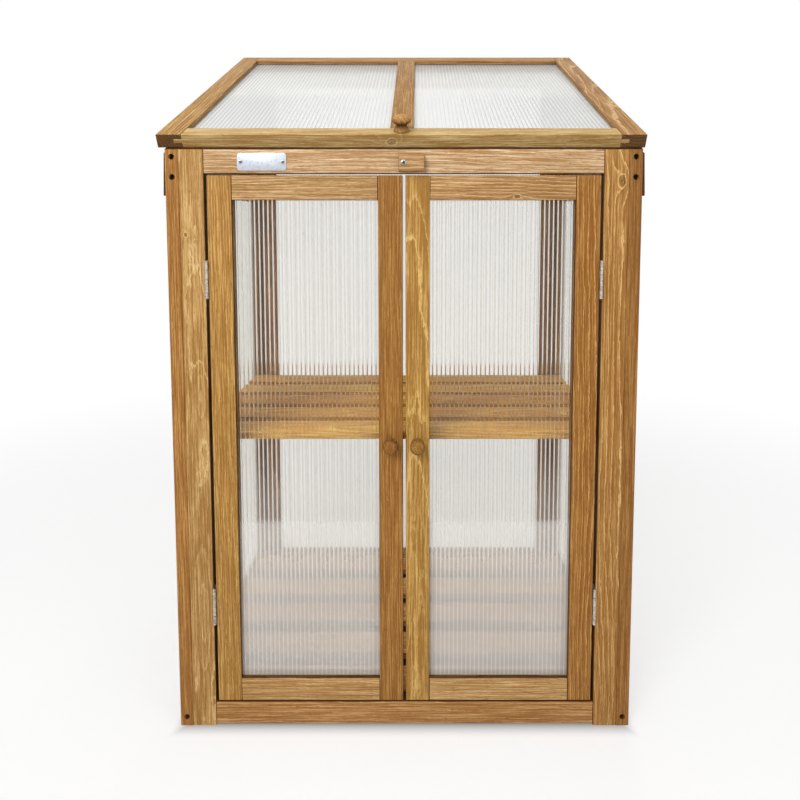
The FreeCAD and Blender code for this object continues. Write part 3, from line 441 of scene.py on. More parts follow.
def twin_wall(name, origin, axes, clear, tint):
    """Two finishes of the sheet: its thin walls, which sag a little between the ribs, and the
    clear ribs, which bend what is seen through them. The sag is the distance from the nearest rib
    squared. 'clear' gives the walls' cover at heights above the ground; where it passes 0.12, the
    cover grows further along the ribs."""
    finishes = []
    for part in ("walls", "ribs"):
        material, tree = blank(f"{name}_{part}")
        finishes.append(material)
        spot = node(tree, "TexCoord").outputs["Object"]
        local = vector(tree, "SUBTRACT", spot, tuple(origin))
        haze = noise(tree, local, (30.0, 30.0, 30.0), 2.0)["Fac"]
        if part == "ribs":
            # lamps shine through the ribs, which would cast solid shadows otherwise
            colour = mix(tree, haze, linear(250, 250, 245), linear(236, 234, 226))
            rough = calc(tree, "MULTIPLY_ADD", haze, 0.04, 0.02)
            clear_rib = node(tree, "BsdfPrincipled", {
                "Base Color": colour, "Roughness": rough, "IOR": 1.55, "Transmission Weight": 1.0})
            gap = node(tree, "BsdfTransparent", {"Color": (0.94, 0.94, 0.92, 1)})
            shader = node(tree, "MixShader", {0: node(tree, "LightPath").outputs["Is Shadow Ray"],
                                              1: clear_rib.outputs[0], 2: gap.outputs[0]})
        else:
            across = vector(tree, "DOT_PRODUCT", local, tuple(axes[0]))
            cell = calc(tree, "SUBTRACT", calc(tree, "FRACT", calc(
                tree, "DIVIDE", across, RIB_STEP)), 0.5)
            sag = calc(tree, "MULTIPLY", calc(tree, "MULTIPLY", cell, cell), 4.0)
            cover = ramp(tree, node(tree, "SeparateXYZ", {0: spot}).outputs[2], clear)
            cover_past_base = calc(tree, "MAXIMUM", calc(tree, "SUBTRACT", cover, 0.12), 0.0)
            line = ramp(tree, sag, ((0.0, 1.0), (0.08, 0.5), (0.22, 0.0)))
            cover = calc(tree, "MULTIPLY_ADD", calc(tree, "MULTIPLY", cover_past_base, line), 0.5, cover)
            colour = mix(tree, calc(tree, "MULTIPLY", haze, 0.5), linear(*tint),
                         linear(*[0.95 * c for c in tint]))
            bump = node(tree, "Bump", {"Height": sag, "Strength": 0.4, "Distance": 0.0004})
            shader = node(tree, "BsdfPrincipled", {
                "Base Color": colour, "Roughness": calc(tree, "MULTIPLY_ADD", haze, 0.2, 0.06),
                "Normal": bump.outputs[0], "IOR": 1.58, "Alpha": cover})
        tree.links.new(shader.outputs[0], node(tree, "OutputMaterial").inputs[0])
    return finishes


def glazing(name, origin, axes, size, body, lean=0.0, **look):
    """A closed slab with ribs inside. Rib n is a column whose section is an ellipse at
    across = (n + 1/2) step, and both slab and ribs end at s = length + lean across."""
    width, thick, length = size
    corners = np.array([(width, 0), (width, thick), (0, thick), (0, 0)], float)
    slab = carried(corners, origin, axes, length, lean_end=(lean, 0), ease=0.00005)
    count = int((width - 2 * RIB) / RIB_STEP)
    first = (width - (count - 1) * RIB_STEP) / 2
    turn = np.linspace(0, 2 * math.pi, 16, endpoint=False)
    oval = np.stack([-np.cos(turn) * RIB / 2, np.sin(turn) * (thick / 2 - 0.0003)], axis=1)[::-1]
    shells = [(*slab, 0)]
    for n in range(count):
        across = first + n * RIB_STEP
        start = origin + across * axes[0] + thick / 2 * axes[1] + 0.001 * axes[2]
        shells.append((*carried(oval, start, axes, length - 0.002 + lean * across,
                                lean_end=(lean, 0), ease=0.00002), 1))
    material_origin = origin + (first - RIB_STEP / 2) * axes[0]
    piece(name + "_sheet", shells, body, [name],
          twin_wall(name, material_origin, axes, **look))


for side in ("left", "right"):
    name = f"{side}_side_pane"
    lowest, highest = (np.array(corner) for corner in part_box(name))
    size = highest - lowest
    # the side panes' tint is greyer than the doors' and lid's, painted shade
    glazing(name, lowest, (Y, X, Z), (size[1], size[0], size[2] - size[1] * RISE),
            "frame", lean=RISE, clear=((0.0, 0.12), (1.0, 0.12)),
            tint=(208, 203, 192))

# Screws. All are zinc-plated with a shallow domed head and a cross recess; those of the frame sit
# at the bottom of counterbores in the posts. The frame screws are drawn whole in a dark metal,
# painted shade of their counterbores, and the cross recesses of the turn button's and name
# plate's screws are painted dark the same way.

def metal(name, tint, dark, rough, streak=(900.0, 900.0, 900.0)):
    """A worn metal finish: noise turns its colour towards a darker one and roughens it. 'streak'
    scales its fine noise along each axis, which is stretched on brushed metal."""
    material, tree = blank(name)
    place = node(tree, "TexCoord").outputs["Object"]
    patch = noise(tree, place, (260.0, 260.0, 260.0), 3.0)["Fac"]
    line = noise(tree, place, streak, 2.0)["Fac"]
    wear = calc(tree, "MULTIPLY", ramp(tree, patch, ((0.4, 0.0), (0.7, 0.8))), 0.8)
    colour = mix(tree, wear, linear(*tint), linear(*dark))
    colour = mix(tree, ramp(tree, line, ((0.45, 0.0), (0.62, 0.35))), colour, linear(*dark))
    roughness = calc(tree, "ADD", calc(tree, "MULTIPLY", line, 0.25), calc(
        tree, "MULTIPLY_ADD", patch, 0.2, rough - 0.2))
    bump = node(tree, "Bump", {"Height": line, "Strength": 0.12, "Distance": 0.0001})
    shader = node(tree, "BsdfPrincipled", {"Base Color": colour, "Roughness": roughness,
                                           "Normal": bump.outputs[0], "Metallic": 1.0})
    tree.links.new(shader.outputs[0], node(tree, "OutputMaterial").inputs[0])
    return material


def lathe(profile, centre, axis, sides):
    """A closed turned surface: P(k, a) = centre + r(k) (u cos a + v sin a) + h(k) axis, closed by
    a flat face at either end of the profile."""
    axis = np.asarray(axis, float)
    u = np.cross(axis, Z if abs(axis[2]) < 0.9 else X)
    u /= np.linalg.norm(u)
    v = np.cross(axis, u)
    profile = np.asarray(profile, float)
    a = np.linspace(0, 2 * math.pi, sides, endpoint=False)
    around = np.cos(a)[:, None] * u + np.sin(a)[:, None] * v
    points = (np.asarray(centre, float) + profile[:, None, :1] * around[None]
              + profile[:, None, 1:] * axis)
    index = np.arange(len(profile) * sides).reshape(-1, sides)
    low, high = index[:-1], index[1:]
    quads = np.stack([low, np.roll(low, -1, axis=1), np.roll(high, -1, axis=1), high], axis=-1)
    faces = quads.reshape(-1, 4).tolist() + [index[0, ::-1].tolist(), index[-1].tolist()]
    return points.reshape(-1, 3), faces


def screw_head(centre, axis, radius, height, turn, dome=0.35, shaded=0):
    """A domed head with a cross recess, over a polar grid: its height is
    h (1 - dome (r / R)^2), less most of h where the nearer arm of the cross is close. The faces
    of the recess carry the material number 'shaded'."""
    axis = np.asarray(axis, float)
    u = np.cross(axis, Z if abs(axis[2]) < 0.9 else X)
    u /= np.linalg.norm(u)
    v = np.cross(axis, u)
    share = np.array([0.05, 0.14, 0.22, 0.32, 0.44, 0.54, 0.62, 0.7, 0.82, 0.92, 1.0])
    a = np.linspace(0, 2 * math.pi, 32, endpoint=False)
    x, y = share[:, None] * np.cos(a), share[:, None] * np.sin(a)
    h = height * (1 - dome * share[:, None] ** 2) * np.ones_like(x)
    c, s = math.cos(turn), math.sin(turn)
    p, q = x * c + y * s, y * c - x * s
    arm = (np.minimum(np.abs(p), np.abs(q)) < 0.17) & (np.hypot(x, y) < 0.63)
    h -= height * 0.6 * arm
    x, y = (np.vstack([row, row[-1:], row[-1:] * 0.98]) * radius for row in (x, y))
    h = np.vstack([h, 0 * h[-1:] + height * 0.15, 0 * h[-1:]])
    points = np.asarray(centre, float) + x[..., None] * u + y[..., None] * v + h[..., None] * axis
    index = np.arange(x.size).reshape(x.shape)
    near, far = index[:-1], index[1:]
    quads = np.stack([near, far, np.roll(far, -1, axis=1), np.roll(near, -1, axis=1)], axis=-1)
    faces = quads.reshape(-1, 4).tolist() + [index[0].tolist(), index[-1, ::-1].tolist()]
    deep = np.zeros((len(h) - 1, h.shape[1]), int)
    deep[:len(arm) - 1] = shaded * (arm[:-1] & np.roll(arm, -1, axis=1)[:-1])
    return points.reshape(-1, 3), faces, deep.ravel().tolist() + [shaded, 0]


zinc = metal("zinc_screws_finish", (176, 174, 170), (104, 100, 94), 0.36)
# a dark metal that paints the shade in the counterbores and in cross recesses
painted_shade_metal = metal("painted_shade_screws_finish", (84, 78, 70), (44, 40, 36), 0.5)
SCREW_X = 0.3575
COUNTERBORE = 0.009
FRONT_SCREWS = (0.926, 0.895, 0.015)
POST_TOP = 0.937 + (0.510 - 0.045) * RISE
REAR_SCREWS = (POST_TOP - 0.024, POST_TOP - 0.056, 0.015)
shells = []
for sign in (-1, 1):
    for face, outward_y, rows in ((FRONT, -1, FRONT_SCREWS), (REAR, 1, REAR_SCREWS)):
        for i, up in enumerate(rows):
            at = np.array((sign * SCREW_X, face - outward_y * COUNTERBORE, up))
            shells.append(screw_head(at, outward_y * Y, 0.004, 0.003, 0.4 * i + 0.3 * sign))
            shells.append(lathe(((0.0022, 0.0), (0.0022, 0.0535), (0.0004, 0.0568)), at,
                                -outward_y * Y, 12))
piece("frame_screws_zinc", shells, "frame", ["frame_screws"], [painted_shade_metal])

# The front frame: two stiles that stand inside the side posts, tops planed to the lid's slope,
# with a rail above the doors and one below.

# edge=0.9 darkens the edge faces of the stiles and rails, as stain and as painted shade
for side, look in (
        ("left", dict(tone=(198, 156, 96), figure=0.75, pith=(0.024, -0.0873), tilt=(0.0, 0.003),
                      ring=0.0046, knot=(0.0085, 0.0, 0.806), knot_size=(0.0035, 1e3, 0.005),
                      ovals=(((0.0255, 0.0, 0.556), (0.0092, 1e3, 0.046)),
                             ((0.021, 0.0, 0.180), (0.0105, 1e3, 0.105))))),
        ("right", dict(tone=(190, 142, 80), figure=1.1, pith=(0.06, -0.03), tilt=(0.02, 0.0),
                       ring=0.0062,
                       knot=(0.0275, 0.0, 0.889), knot_size=(0.0075, 1e3, 0.013)))):
    name = f"{side}_front_stile"
    origin, axes, size = boxed(name, "Z")
    size[2] -= size[1] * RISE
    board(name, origin, axes, size, lean_end=(0, RISE), edge=0.9, **look)
origin, axes, size = boxed("front_head_rail", "X")
size[0] -= size[1] * RISE
board("front_head_rail", origin, axes, size, planed=RISE, butt=True, edge=0.9,
      tone=(214, 176, 132), figure=0.95, ring=0.0056, pith=(0.09, -0.03), tilt=(0.02, 0.0))
board("front_sill_rail", *boxed("front_sill_rail", "X"), butt=True, edge=0.9,
      tone=(190, 142, 88), ring=0.004, pith=(0.10, -0.03), tilt=(0.006, 0.0), figure=0.9)

# The rear frame: grooved stiles and rails round one tall sheet. The upper edge of the top rail is
# planed to the slope of the lid.

for side, sign in (("left", -1), ("right", 1)):
    name = f"{side}_rear_stile"
    origin, axes, size = boxed(name, "Z")
    size[2] -= THICK * RISE
    # the rear stiles' tone is darker than the other wood, painted shade
    board(name, origin, axes, size, low=sign > 0, high=sign < 0,
          lean_end=(0, RISE), pith=(0.03, 0.07), tilt=(0.0, 0.03), tone=(164, 118, 72))
board("rear_sill_rail", *boxed("rear_sill_rail", "X", True), high=True, tongue=True,
      pith=(0.0, 0.06), tilt=(0.01, 0.02), tone=(206, 172, 130), figure=0.5)
origin, axes, size = boxed("rear_head_rail", "X", True)
board("rear_head_rail", origin, axes, (RAIL, THICK, size[2]), low=True, tongue=True,
      planed=RISE, pith=(0.02, 0.07), tilt=(0.0, 0.04), tone=(182, 136, 86))
# the rear pane's tint is greyer than the doors' and lid's, painted shade
glazing("rear_pane", *boxed("rear_pane", "Z"), "frame",
        clear=((0.0, 0.15), (1.0, 0.15)), tint=(226, 220, 202))

# The shelf and the base: planed slats of the same stained softwood, laid loose on a batten at
# each side. The battens are screwed to the side frames.

SLATS = 5
SLAT_THICK = 0.012
BATTEN = 0.020
# The shelf's slats are a paler tone than the other wood, painted light for the dim inside where
# they lie.
for tier, gap, tone in (("shelf", 0.0225, (242, 180, 84)), ("base", 0.032, (220, 168, 110))):
    lowest, highest = (np.array(corner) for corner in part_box(f"{tier}_slats"))
    slat_wide = (highest[1] - lowest[1] + gap) / SLATS - gap
    shells, finishes = [], []
    for i in range(SLATS):
        origin = lowest + i * (slat_wide + gap) * Y
        slat = carried(board_outline(slat_wide, SLAT_THICK), origin, (Y, Z, X),
                       highest[0] - lowest[0])
        shells.append((*slat, i))
        # slats behind the front one get darker edges, painted shade in the gaps between them
        finishes.append(wood(f"{tier}_slat_{i}_wood", origin, (Y, Z, X),
                             tone=np.array(tone) - i % 3 * np.array((8, 10, 8)),
                             pith=(0.02 + 0.01 * i, 0.06), tilt=(0.01, 0.04 - 0.01 * i),
                             edge=0.5 if i else 0.25, knot=(0.012 * i + 0.01, 0.0, 0.15 * i + 0.1),
                             knot_size=(0.004, 1e3, 0.007)))
    piece(f"{tier}_slats_boards", shells, "frame", [f"{tier}_slats"], finishes)
    lowest, highest = (np.array(corner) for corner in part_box(f"{tier}_bearers"))
    shells, finishes = [], []
    for i, x in enumerate((lowest[0], highest[0] - BATTEN)):
        origin = np.array((x, lowest[1], lowest[2]))
        shells.append((*carried(board_outline(BATTEN, BATTEN), origin, (Z, X, Y),
                                highest[1] - lowest[1]), i))
        finishes.append(wood(f"{tier}_bearer_{i}_wood", origin, (Z, X, Y)))
    piece(f"{tier}_bearers_battens", shells, "frame", [f"{tier}_bearers"], finishes)

# The doors: each is two grooved stiles that run full height, two rails with tongues between them
# and a sheet in the grooves.

DOOR_LOOKS = {
    "left_door_hinge_stile": dict(tone=(192, 146, 78), figure=0.9, pith=(0.10, -0.02), ring=0.0042,
                                  tilt=(0.008, 0.0), knot=(0.014, 0.0, 0.503),
                                  knot_size=(0.0014, 1e3, 0.002)),
    "left_door_lock_stile": dict(tone=(171, 121, 60), figure=0.9, pith=(-0.09, -0.01),
                                 ring=0.0034, tilt=(-0.004, 0.0), knot=(0.010, 0.0, 0.341),
                                 knot_size=(0.0016, 1e3, 0.0026)),
    "left_door_top_rail": dict(tone=(196, 156, 106), figure=1.1, pith=(0.10, -0.03), ring=0.004,
                               tilt=(0.015, 0.0)),
    "left_door_bottom_rail": dict(tone=(200, 158, 102), pith=(0.10, -0.02), ring=0.0036,
                                  tilt=(0.004, 0.0)),
    "right_door_hinge_stile": dict(tone=(176, 124, 62), figure=1.3, pith=(0.07, -0.02),
                                   ring=0.0068, tilt=(0.012, 0.0), knot=(0.062, 0.0, 0.53),
                                   knot_size=(0.022, 1e3, 0.15)),
    "right_door_lock_stile": dict(tone=(197, 153, 82), figure=0.8, pith=(0.019, -0.05),
                                  ring=0.0044, tilt=(0.0, 0.022)),
    "right_door_top_rail": dict(tone=(193, 151, 99), figure=1.2, pith=(0.09, -0.04),
                                tilt=(0.012, 0.0), knot=(0.005, 0.0, 0.135),
                                knot_size=(0.004, 1e3, 0.007)),
    "right_door_bottom_rail": dict(tone=(205, 165, 110), pith=(0.10, -0.03), ring=0.0036,
                                   tilt=(-0.005, 0.0)),
}
for side, sign in (("left", -1), ("right", 1)):
    door = f"{side}_door"
    # edge=0.95 darkens the edge faces of stiles and rails, the groove lips by the pane among them,
    # as stain and as painted shade
    for part, inner in (("hinge", sign > 0), ("lock", sign < 0)):
        name = f"{door}_{part}_stile"
        board(name, *boxed(name, "Z"), body=door, low=inner, high=not inner, edge=0.95,
              **DOOR_LOOKS[name])
    for part in ("top", "bottom"):
        name = f"{door}_{part}_rail"
        board(name, *boxed(name, "X", True), body=door, low=part == "top",
              high=part == "bottom", tongue=True, edge=0.95, **DOOR_LOOKS[name])
    glazing(f"{door}_pane", *boxed(f"{door}_pane", "Z"), door,
            clear=((0.12, 0.31), (0.335, 0.28), (0.348, 0.10), (0.47, 0.025)),
            tint=(250, 247, 242))

# The lid: the same kind of frame laid on the slope, with a mullion between two sheets whose ribs
# run up the slope so that the flutes drain.

LID_ORIGIN = np.array((-0.0035, -0.252225, 0.958847))
LID_LONG = 0.562085
LID_HALF = 0.375
LID_INNER = LID_HALF - RAIL
LID_FRONT = 0.032
MULLION = 0.037
BETWEEN = LID_LONG - LID_FRONT - RAIL
LID_UP = (X, -OFF_SLOPE, UP_SLOPE)
LID_ACROSS = (UP_SLOPE, -OFF_SLOPE, X)
PANE_IN = 0.010


def on_lid(x, up, down=0.0):
    """A point of the lid: x from its middle, up its slope and down into its thickness."""
    return LID_ORIGIN + x * X + up * UP_SLOPE - down * OFF_SLOPE


board("lid_left_rail", on_lid(-LID_HALF, 0), LID_UP, (RAIL, THICK, LID_LONG), body="lid",
      high=True, tone=(188, 147, 90), pith=(0.09, -0.03), tilt=(0.01, 0.0))
board("lid_right_rail", on_lid(LID_INNER, 0), LID_UP, (RAIL, THICK, LID_LONG), body="lid",
      low=True, tone=(188, 146, 96), pith=(0.03, -0.06), tilt=(0.0, 0.04))
board("lid_front_rail", on_lid(-LID_INNER, 0), LID_ACROSS, (LID_FRONT, THICK, 2 * LID_INNER),
      body="lid", high=True, tongue=True, tone=(212, 178, 118), pith=(0.10, 0.06), ring=0.0034,
      figure=0.4, tilt=(0.0, 0.01), edge=0.3, knot=(0.0, 0.012, 0.322),
      knot_size=(1e3, 0.007, 0.010))
board("lid_rear_rail", on_lid(-LID_INNER, LID_LONG - RAIL), LID_ACROSS,
      (RAIL, THICK, 2 * LID_INNER), body="lid", low=True, tongue=True, pith=(0.09, -0.05),
      tilt=(0.0, 0.03))
board("lid_mullion", on_lid(-MULLION / 2, LID_FRONT), LID_UP, (MULLION, THICK, BETWEEN),
      body="lid", low=True, high=True, tongue=True, tone=(174, 132, 80), pith=(0.09, -0.03),
      ring=0.004)
for name, x in (("lid_left_pane", -LID_INNER), ("lid_right_pane", MULLION / 2)):
    glazing(name, on_lid(x - PANE_IN, LID_FRONT - PANE_IN, (THICK - SHEET) / 2), LID_UP,
            (LID_INNER - MULLION / 2 + 2 * PANE_IN, SHEET, BETWEEN + 2 * PANE_IN), "lid",
            clear=((0.0, 0.56), (1.0, 0.56)), tint=(247, 248, 246))

# The bolt in the left edge of the lid: steel, with a small dark domed head that stands a little
# off the wood.

bolt_dark = metal("dark_bolt_finish", (62, 56, 52), (34, 30, 28), 0.5)
at = on_lid(-LID_HALF, 0.356, THICK / 2)
dome = ((0.0035, 0.0), (0.0035, 0.0006), (0.0031, 0.0011), (0.0022, 0.0014), (0.0008, 0.0015))
piece("lid_edge_bolt_dark", [lathe(dome, at, -X, 28),
                             lathe(((0.0018, 0.0), (0.0018, 0.02)), at, X, 16)],
      "lid", ["lid_edge_bolt"], [bolt_dark])

# The knobs: turned from the same softwood along its grain and glued on a dowel. Each has a flared
# foot, a waisted neck and a mushroom head.

KNOB_PROFILE = np.array((
    (0.82, 0.00), (0.86, 0.07), (0.81, 0.16), (0.64, 0.27), (0.56, 0.37), (0.66, 0.46),
    (0.89, 0.55), (1.00, 0.64), (0.97, 0.75), (0.86, 0.85), (0.66, 0.93), (0.38, 0.98),
    (0.10, 1.00)))


def smooth_through(points, steps=5):
    """A smooth curve through the points: on each run the cubic whose slope at either end is half
    the way between that end's neighbours."""
    ends = np.vstack([2 * points[:1] - points[1:2], points, 2 * points[-1:] - points[-2:-1]])
    a, b, c, d = (ends[i:len(ends) - 3 + i, None] for i in range(4))
    t = np.linspace(0, 1, steps, endpoint=False)[None, :, None]
    run = (2 * b + (c - a) * t + (2 * a - 5 * b + 4 * c - d) * t ** 2
           + (3 * b - a - 3 * c + d) * t ** 3) / 2
    return np.clip(np.vstack([run.reshape(-1, 2), points[-1:]]), 0, 1)


def knob(name, body, centre, axis, wide, long, **look):
    """A turned knob: the smooth profile times its radius and length, spun about its axis. Painted
    shade darkens its waist and the underside of its head most, its foot and the rim of its head
    less, and fades out towards the top of its dome."""
    side = np.cross(axis, X)
    painted_shade_along = [(share * long, much) for share, much in (
        (0.1, 0.2), (0.3, 0.7), (0.48, 1.0), (0.6, 0.85), (0.72, 0.35), (0.9, 0.1), (1.0, 0.0))]
    material = wood(name + "_wood", centre, (X, side, axis), ring=0.0046, pith=(0.02, 0.01),
                    figure=0.8, tilt=(0.1, 0.05), end=0.0, painted_shade_along=painted_shade_along, **look)
    shell = lathe(smooth_through(KNOB_PROFILE) * (wide / 2, long), centre, axis, 56)
    piece(name + "_turned", [shell], body, [name], [material])


KNOB_X = 0.02125
KNOB_UP = 0.474
for side, sign, tone in (("left", -1, (160, 110, 52)), ("right", 1, (170, 124, 60))):
    knob(f"{side}_door_knob", f"{side}_door", np.array((sign * KNOB_X, FRONT, KNOB_UP)), -Y,
         0.024, 0.024, tone=tone)
knob("lid_knob", "lid", on_lid(0.0, 0.016), OFF_SLOPE, 0.029, 0.026, tone=(204, 158, 92))

# The hinges: zinc-plated steel butt hinges of four knuckles. Those of the doors stand in the gap
# with their pin in front, those of the lid lie behind the rear top rail; three screws hold a leaf.

hinge_zinc = metal("zinc_hinges_finish", (214, 207, 198), (96, 86, 76), 0.34)
KNUCKLE = 0.0026
PIN_OFF = 0.0029
HINGE_LONG = 0.060
LEAF = 0.001
LEAF_WIDE = 0.017
STEP = HINGE_LONG / 4
KNUCKLE_GAP = 0.0008
HALF_GAP = 0.00225
DOOR_PIN = 0.30675
HINGE_HEIGHTS = (0.205, 0.736)
LID_HINGE = 0.240


def hinge_half(pin, up, inward, aside, wood_at, leaf_start, first, holds_pin):
    """Half a hinge in its own axes: knuckles are tubes about the pin along 'up', the leaf is a
    plate that reaches 'inward', 'aside' points to its wood, and wood_at is the wood's distance."""
    shells = []
    for k in range(4):
        low = -HINGE_LONG / 2 + k * STEP
        if (k % 2 == 0) == first:
            e = 0.00025
            long = STEP - KNUCKLE_GAP
            tube = ((KNUCKLE - e, 0.0), (KNUCKLE, e), (KNUCKLE, long - e), (KNUCKLE - e, long))
            shells.append(lathe(tube, pin + (low + KNUCKLE_GAP / 2) * up, up, 28))
            if leaf_start > 0:
                plate = board_outline(leaf_start + 0.0001, LEAF, ease=0.0001)
                shells.append(carried(plate, pin + low * up + (wood_at - LEAF) * aside,
                                      (inward, aside, up), STEP, ease=0.0001))
    plate = board_outline(LEAF_WIDE, LEAF, ease=0.0003)
    start = pin - HINGE_LONG / 2 * up + (wood_at - LEAF) * aside + leaf_start * inward
    shells.append(carried(plate, start, (inward, aside, up), HINGE_LONG, ease=0.0003))
    middle = pin + (leaf_start + LEAF_WIDE / 2) * inward + (wood_at - LEAF) * aside
    for k in (-1, 0, 1):
        at = middle + k * 0.020 * up
        shells.append(screw_head(at, -aside, 0.0027, 0.0004, 0.5 * k + 0.2))
        shells.append(lathe(((0.0015, 0.0), (0.0015, 0.011), (0.0003, 0.0128)), at, aside, 10))
    if holds_pin:
        tip = 0.0003
        shells.append(lathe(((0.0008, 0.0), (0.0011, tip), (0.0011, HINGE_LONG - tip),
                             (0.0008, HINGE_LONG)), pin - HINGE_LONG / 2 * up, up, 16))
    return shells


for side, sign in (("left", -1), ("right", 1)):
    fixed, moving = [], []
    for up in HINGE_HEIGHTS:
        pin = np.array((sign * DOOR_PIN, FRONT - PIN_OFF, up))
        fixed += hinge_half(pin, Z, Y, sign * X, HALF_GAP, PIN_OFF, True, True)
        moving += hinge_half(pin, Z, Y, -sign * X, HALF_GAP, PIN_OFF, False, False)
    piece(f"{side}_door_hinges_fixed_zinc", fixed, "frame", [f"{side}_door_hinges_fixed"],
          [hinge_zinc])
    piece(f"{side}_door_hinges_moving_zinc", moving, f"{side}_door",
          [f"{side}_door_hinges_moving"], [hinge_zinc])
fixed, moving = [], []
for sign in (-1, 1):
    pin = np.array((sign * LID_HINGE, REAR + PIN_OFF, 1.18239))
    fixed += hinge_half(pin, X, -Z, -Y, PIN_OFF, 0.0, False, True)
    moving += hinge_half(pin, X, OFF_SLOPE, -UP_SLOPE, PIN_OFF, 0.0, True, False)
piece("lid_hinges_fixed_zinc", fixed, "frame", ["lid_hinges_fixed"], [hinge_zinc])
piece("lid_hinges_moving_zinc", moving, "lid", ["lid_hinges_moving"], [hinge_zinc])

# The turn button: a small block of the same wood on one screw in the front top rail. It is drawn
# turned aside; a quarter turn brings it down over the doors.

PIVOT = np.array((0.0, FRONT, 0.916))
BUTTON_LONG, BUTTON_WIDE, BUTTON_THICK = 0.040, 0.025, 0.011
BUTTON_END = 0.0084
BUTTON_PLAY = 0.0004
BUTTON_EASE = 0.0014
block = board_outline(BUTTON_WIDE, BUTTON_THICK, ease=BUTTON_EASE)
origin = PIVOT - (BUTTON_END, BUTTON_PLAY + BUTTON_THICK, BUTTON_WIDE / 2)
button_wood = wood("turn_button_wood", origin, (Z, Y, X), tone=(206, 166, 118),
                   pith=(0.06, -0.02), ring=0.0032, figure=0.5)
piece("turn_button_block", [carried(block, origin, (Z, Y, X), BUTTON_LONG, ease=BUTTON_EASE)],
      "turn_button", ["turn_button"], [button_wood])
face = PIVOT - (BUTTON_THICK + 2 * BUTTON_PLAY) * Y
piece("turn_button_screw_zinc",
      [screw_head(face, -Y, 0.0044, 0.002, 0.35, 0.5, 1),
       lathe(((0.0022, 0.0), (0.0022, 0.0118)), face, Y, 14)],
      "frame", ["turn_button_screw"], [zinc, painted_shade_metal])

# The name plate: a thin bare plate of brushed aluminium with rounded corners, held by a small
# screw at each end.

plate_low, plate_high = (np.array(corner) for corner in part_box("name_plate"))
plate_size = plate_high - plate_low
PLATE_SCREW = 0.0325
plate_outline = board_outline(plate_size[2], plate_size[0], ease=0.005)
brushed = metal("brushed_plate_finish", (190, 194, 202), (160, 165, 174), 0.42,
                streak=(12.0, 400.0, 1500.0))
piece("name_plate_brushed", [carried(plate_outline, plate_low, (Z, X, Y), plate_size[1],
                                     ease=0.00025)],
      "frame", ["name_plate"], [brushed])
heads = []
for sign in (-1, 1):
    at = plate_low + (plate_size[0] / 2 + sign * PLATE_SCREW, 0, plate_size[2] / 2)
    heads.append(screw_head(at, -Y, 0.0028, 0.0012, 0.5 * sign, shaded=1))
    heads.append(lathe(((0.0012, 0.0), (0.0012, 0.0085)), at, Y, 12))
piece("name_plate_screws_zinc", heads, "frame", ["name_plate_screws"], [zinc, painted_shade_metal])

# The floor: plain white ground that shows the object's soft shadow and turns pure white further
# off, where it meets the white surroundings. Under the object it is a near-black matt, a painted
# shadow.

REACH = 9.0
UNDER = (0.37, 0.26, 0.0)


def plainly_seen(tree):
    """One where the camera, gloss or glass sees the surface, and zero where light falls on it."""
    rays = node(tree, "LightPath").outputs
    return calc(tree, "MAXIMUM", rays["Is Camera Ray"], calc(
        tree, "MAXIMUM", rays["Is Glossy Ray"], rays["Is Transmission Ray"]))


floor_mesh = bpy.data.meshes.new("floor")
floor_mesh.from_pydata([(-REACH, -REACH, 0), (REACH, -REACH, 0), (REACH, REACH, 0),
                        (-REACH, REACH, 0)], [], [(0, 1, 2, 3)])
floor = bpy.data.objects.new("floor", floor_mesh)
bpy.context.scene.collection.objects.link(floor)
floor_white, tree = blank("floor_white")
place = node(tree, "TexCoord").outputs["Object"]
far_off = ramp(tree, calc(tree, "MULTIPLY", vector(tree, "LENGTH", place), 0.4),
               ((0.35, 0.0), (0.9, 1.0)))
matt = node(tree, "BsdfDiffuse", {"Color": (0.8, 0.8, 0.8, 1)})
# a near-black matt under the object, a painted shadow
painted_shadow_matt = node(tree, "BsdfDiffuse", {"Color": (0.06, 0.055, 0.05, 1)})
under = vector(tree, "SUBTRACT", vector(tree, "ABSOLUTE", place), UNDER)
under = node(tree, "SeparateXYZ", {0: under}).outputs
past = calc(tree, "MAXIMUM", under[0], under[1])
under = ramp(tree, calc(tree, "MULTIPLY_ADD", past, 8.0, 0.5), ((0.2, 1.0), (0.6, 0.0)))
near_matt = node(tree, "BsdfDiffuse", {"Color": (0.38, 0.38, 0.38, 1)})
glow = node(tree, "Emission", {"Color": (1, 1, 1, 1), "Strength": 0.62})
white = node(tree, "Emission", {"Color": (1, 1, 1, 1), "Strength": 1.0})
near = node(tree, "AddShader", {0: glow.outputs[0], 1: near_matt.outputs[0]})
near = node(tree, "MixShader", {0: under, 1: near.outputs[0], 2: painted_shadow_matt.outputs[0]})
shown = node(tree, "MixShader", {0: far_off, 1: near.outputs[0], 2: white.outputs[0]})
ground = node(tree, "MixShader", {0: plainly_seen(tree), 1: matt.outputs[0], 2: shown.outputs[0]})
tree.links.new(ground.outputs[0], node(tree, "OutputMaterial").inputs[0])
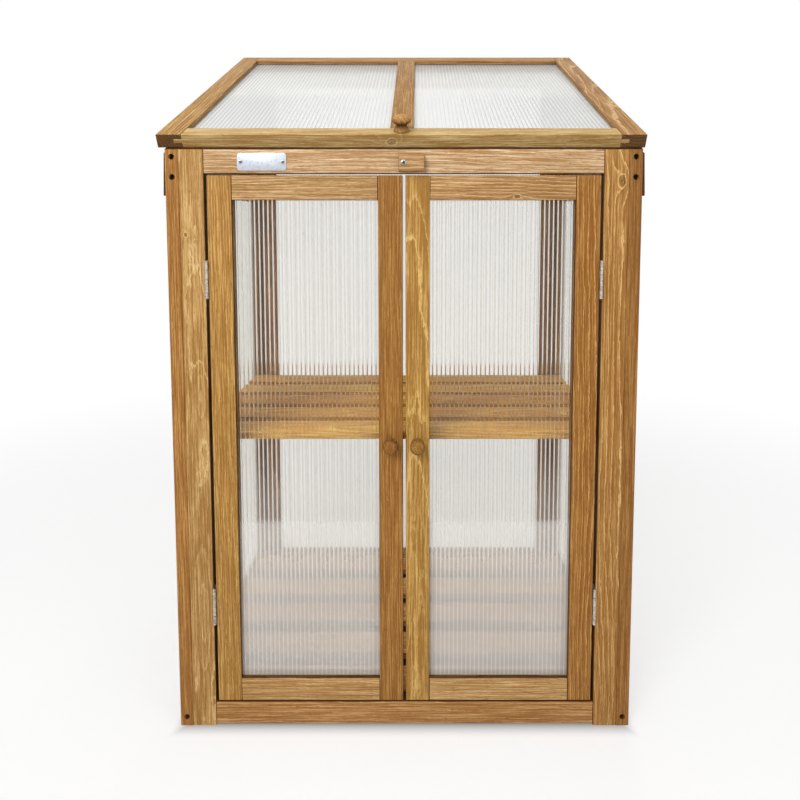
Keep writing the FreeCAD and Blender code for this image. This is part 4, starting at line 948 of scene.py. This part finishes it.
floor_mesh.materials.append(floor_white)

# Light: white surroundings at a plain level, a large soft lamp from the upper left, weaker ones
# from the right and from behind, and one overhead.

world = bpy.data.worlds.new("white_room")
bpy.context.scene.world = world
world.use_nodes = True
tree = world.node_tree
tree.nodes.clear()
dim = node(tree, "Background", {"Color": (1, 1, 1, 1), "Strength": 0.37})
bright = node(tree, "Background", {"Color": (1, 1, 1, 1), "Strength": 1.0})
sky = node(tree, "MixShader", {0: plainly_seen(tree), 1: dim.outputs[0], 2: bright.outputs[0]})
tree.links.new(sky.outputs[0], node(tree, "OutputWorld").inputs[0])


def lamp(name, place, aim, wide, power, mirrored=True):
    """A square area lamp at a place, aimed at a point, and seen in gloss and glass or not."""
    data = bpy.data.lights.new(name, "AREA")
    data.size = wide
    data.energy = power
    obj = bpy.data.objects.new(name, data)
    obj.location = place
    aim = np.asarray(aim, float) - place
    away = math.hypot(aim[0], aim[1])
    obj.rotation_euler = (math.atan2(away, -aim[2]), 0, math.atan2(-aim[0], aim[1]))
    obj.visible_glossy = obj.visible_transmission = mirrored
    bpy.context.scene.collection.objects.link(obj)


lamp("key_lamp", (-1.1, -2.4, 2.3), (0, 0, 0.7), 1.5, 56)
lamp("fill_lamp", (2.2, -2.2, 1.5), (0, 0, 0.5), 1.6, 14)
lamp("top_lamp", (0.0, -0.5, 3.2), (0, 0, 0.6), 1.4, 16)
lamp("rear_lamp", (0.6, 2.6, 1.8), (0, 0, 0.6), 1.6, 20, mirrored=False)

# The camera stands about a metre before the doors, at the height of their upper part, and looks a
# little down. Its shift moves the picture as in the photograph.

camera_data = bpy.data.cameras.new("camera")
camera_data.sensor_width = 36.0
camera_data.lens = 28.06
camera_data.shift_x = -0.0205
camera_data.shift_y = -0.1693
camera = bpy.data.objects.new("camera", camera_data)
camera.location = (0.0193, -1.21325, 0.8305)
camera.rotation_euler = (math.radians(85.82), 0, 0)
bpy.context.scene.collection.objects.link(camera)
bpy.context.scene.camera = camera
bpy.context.scene.view_settings.view_transform = "Standard"
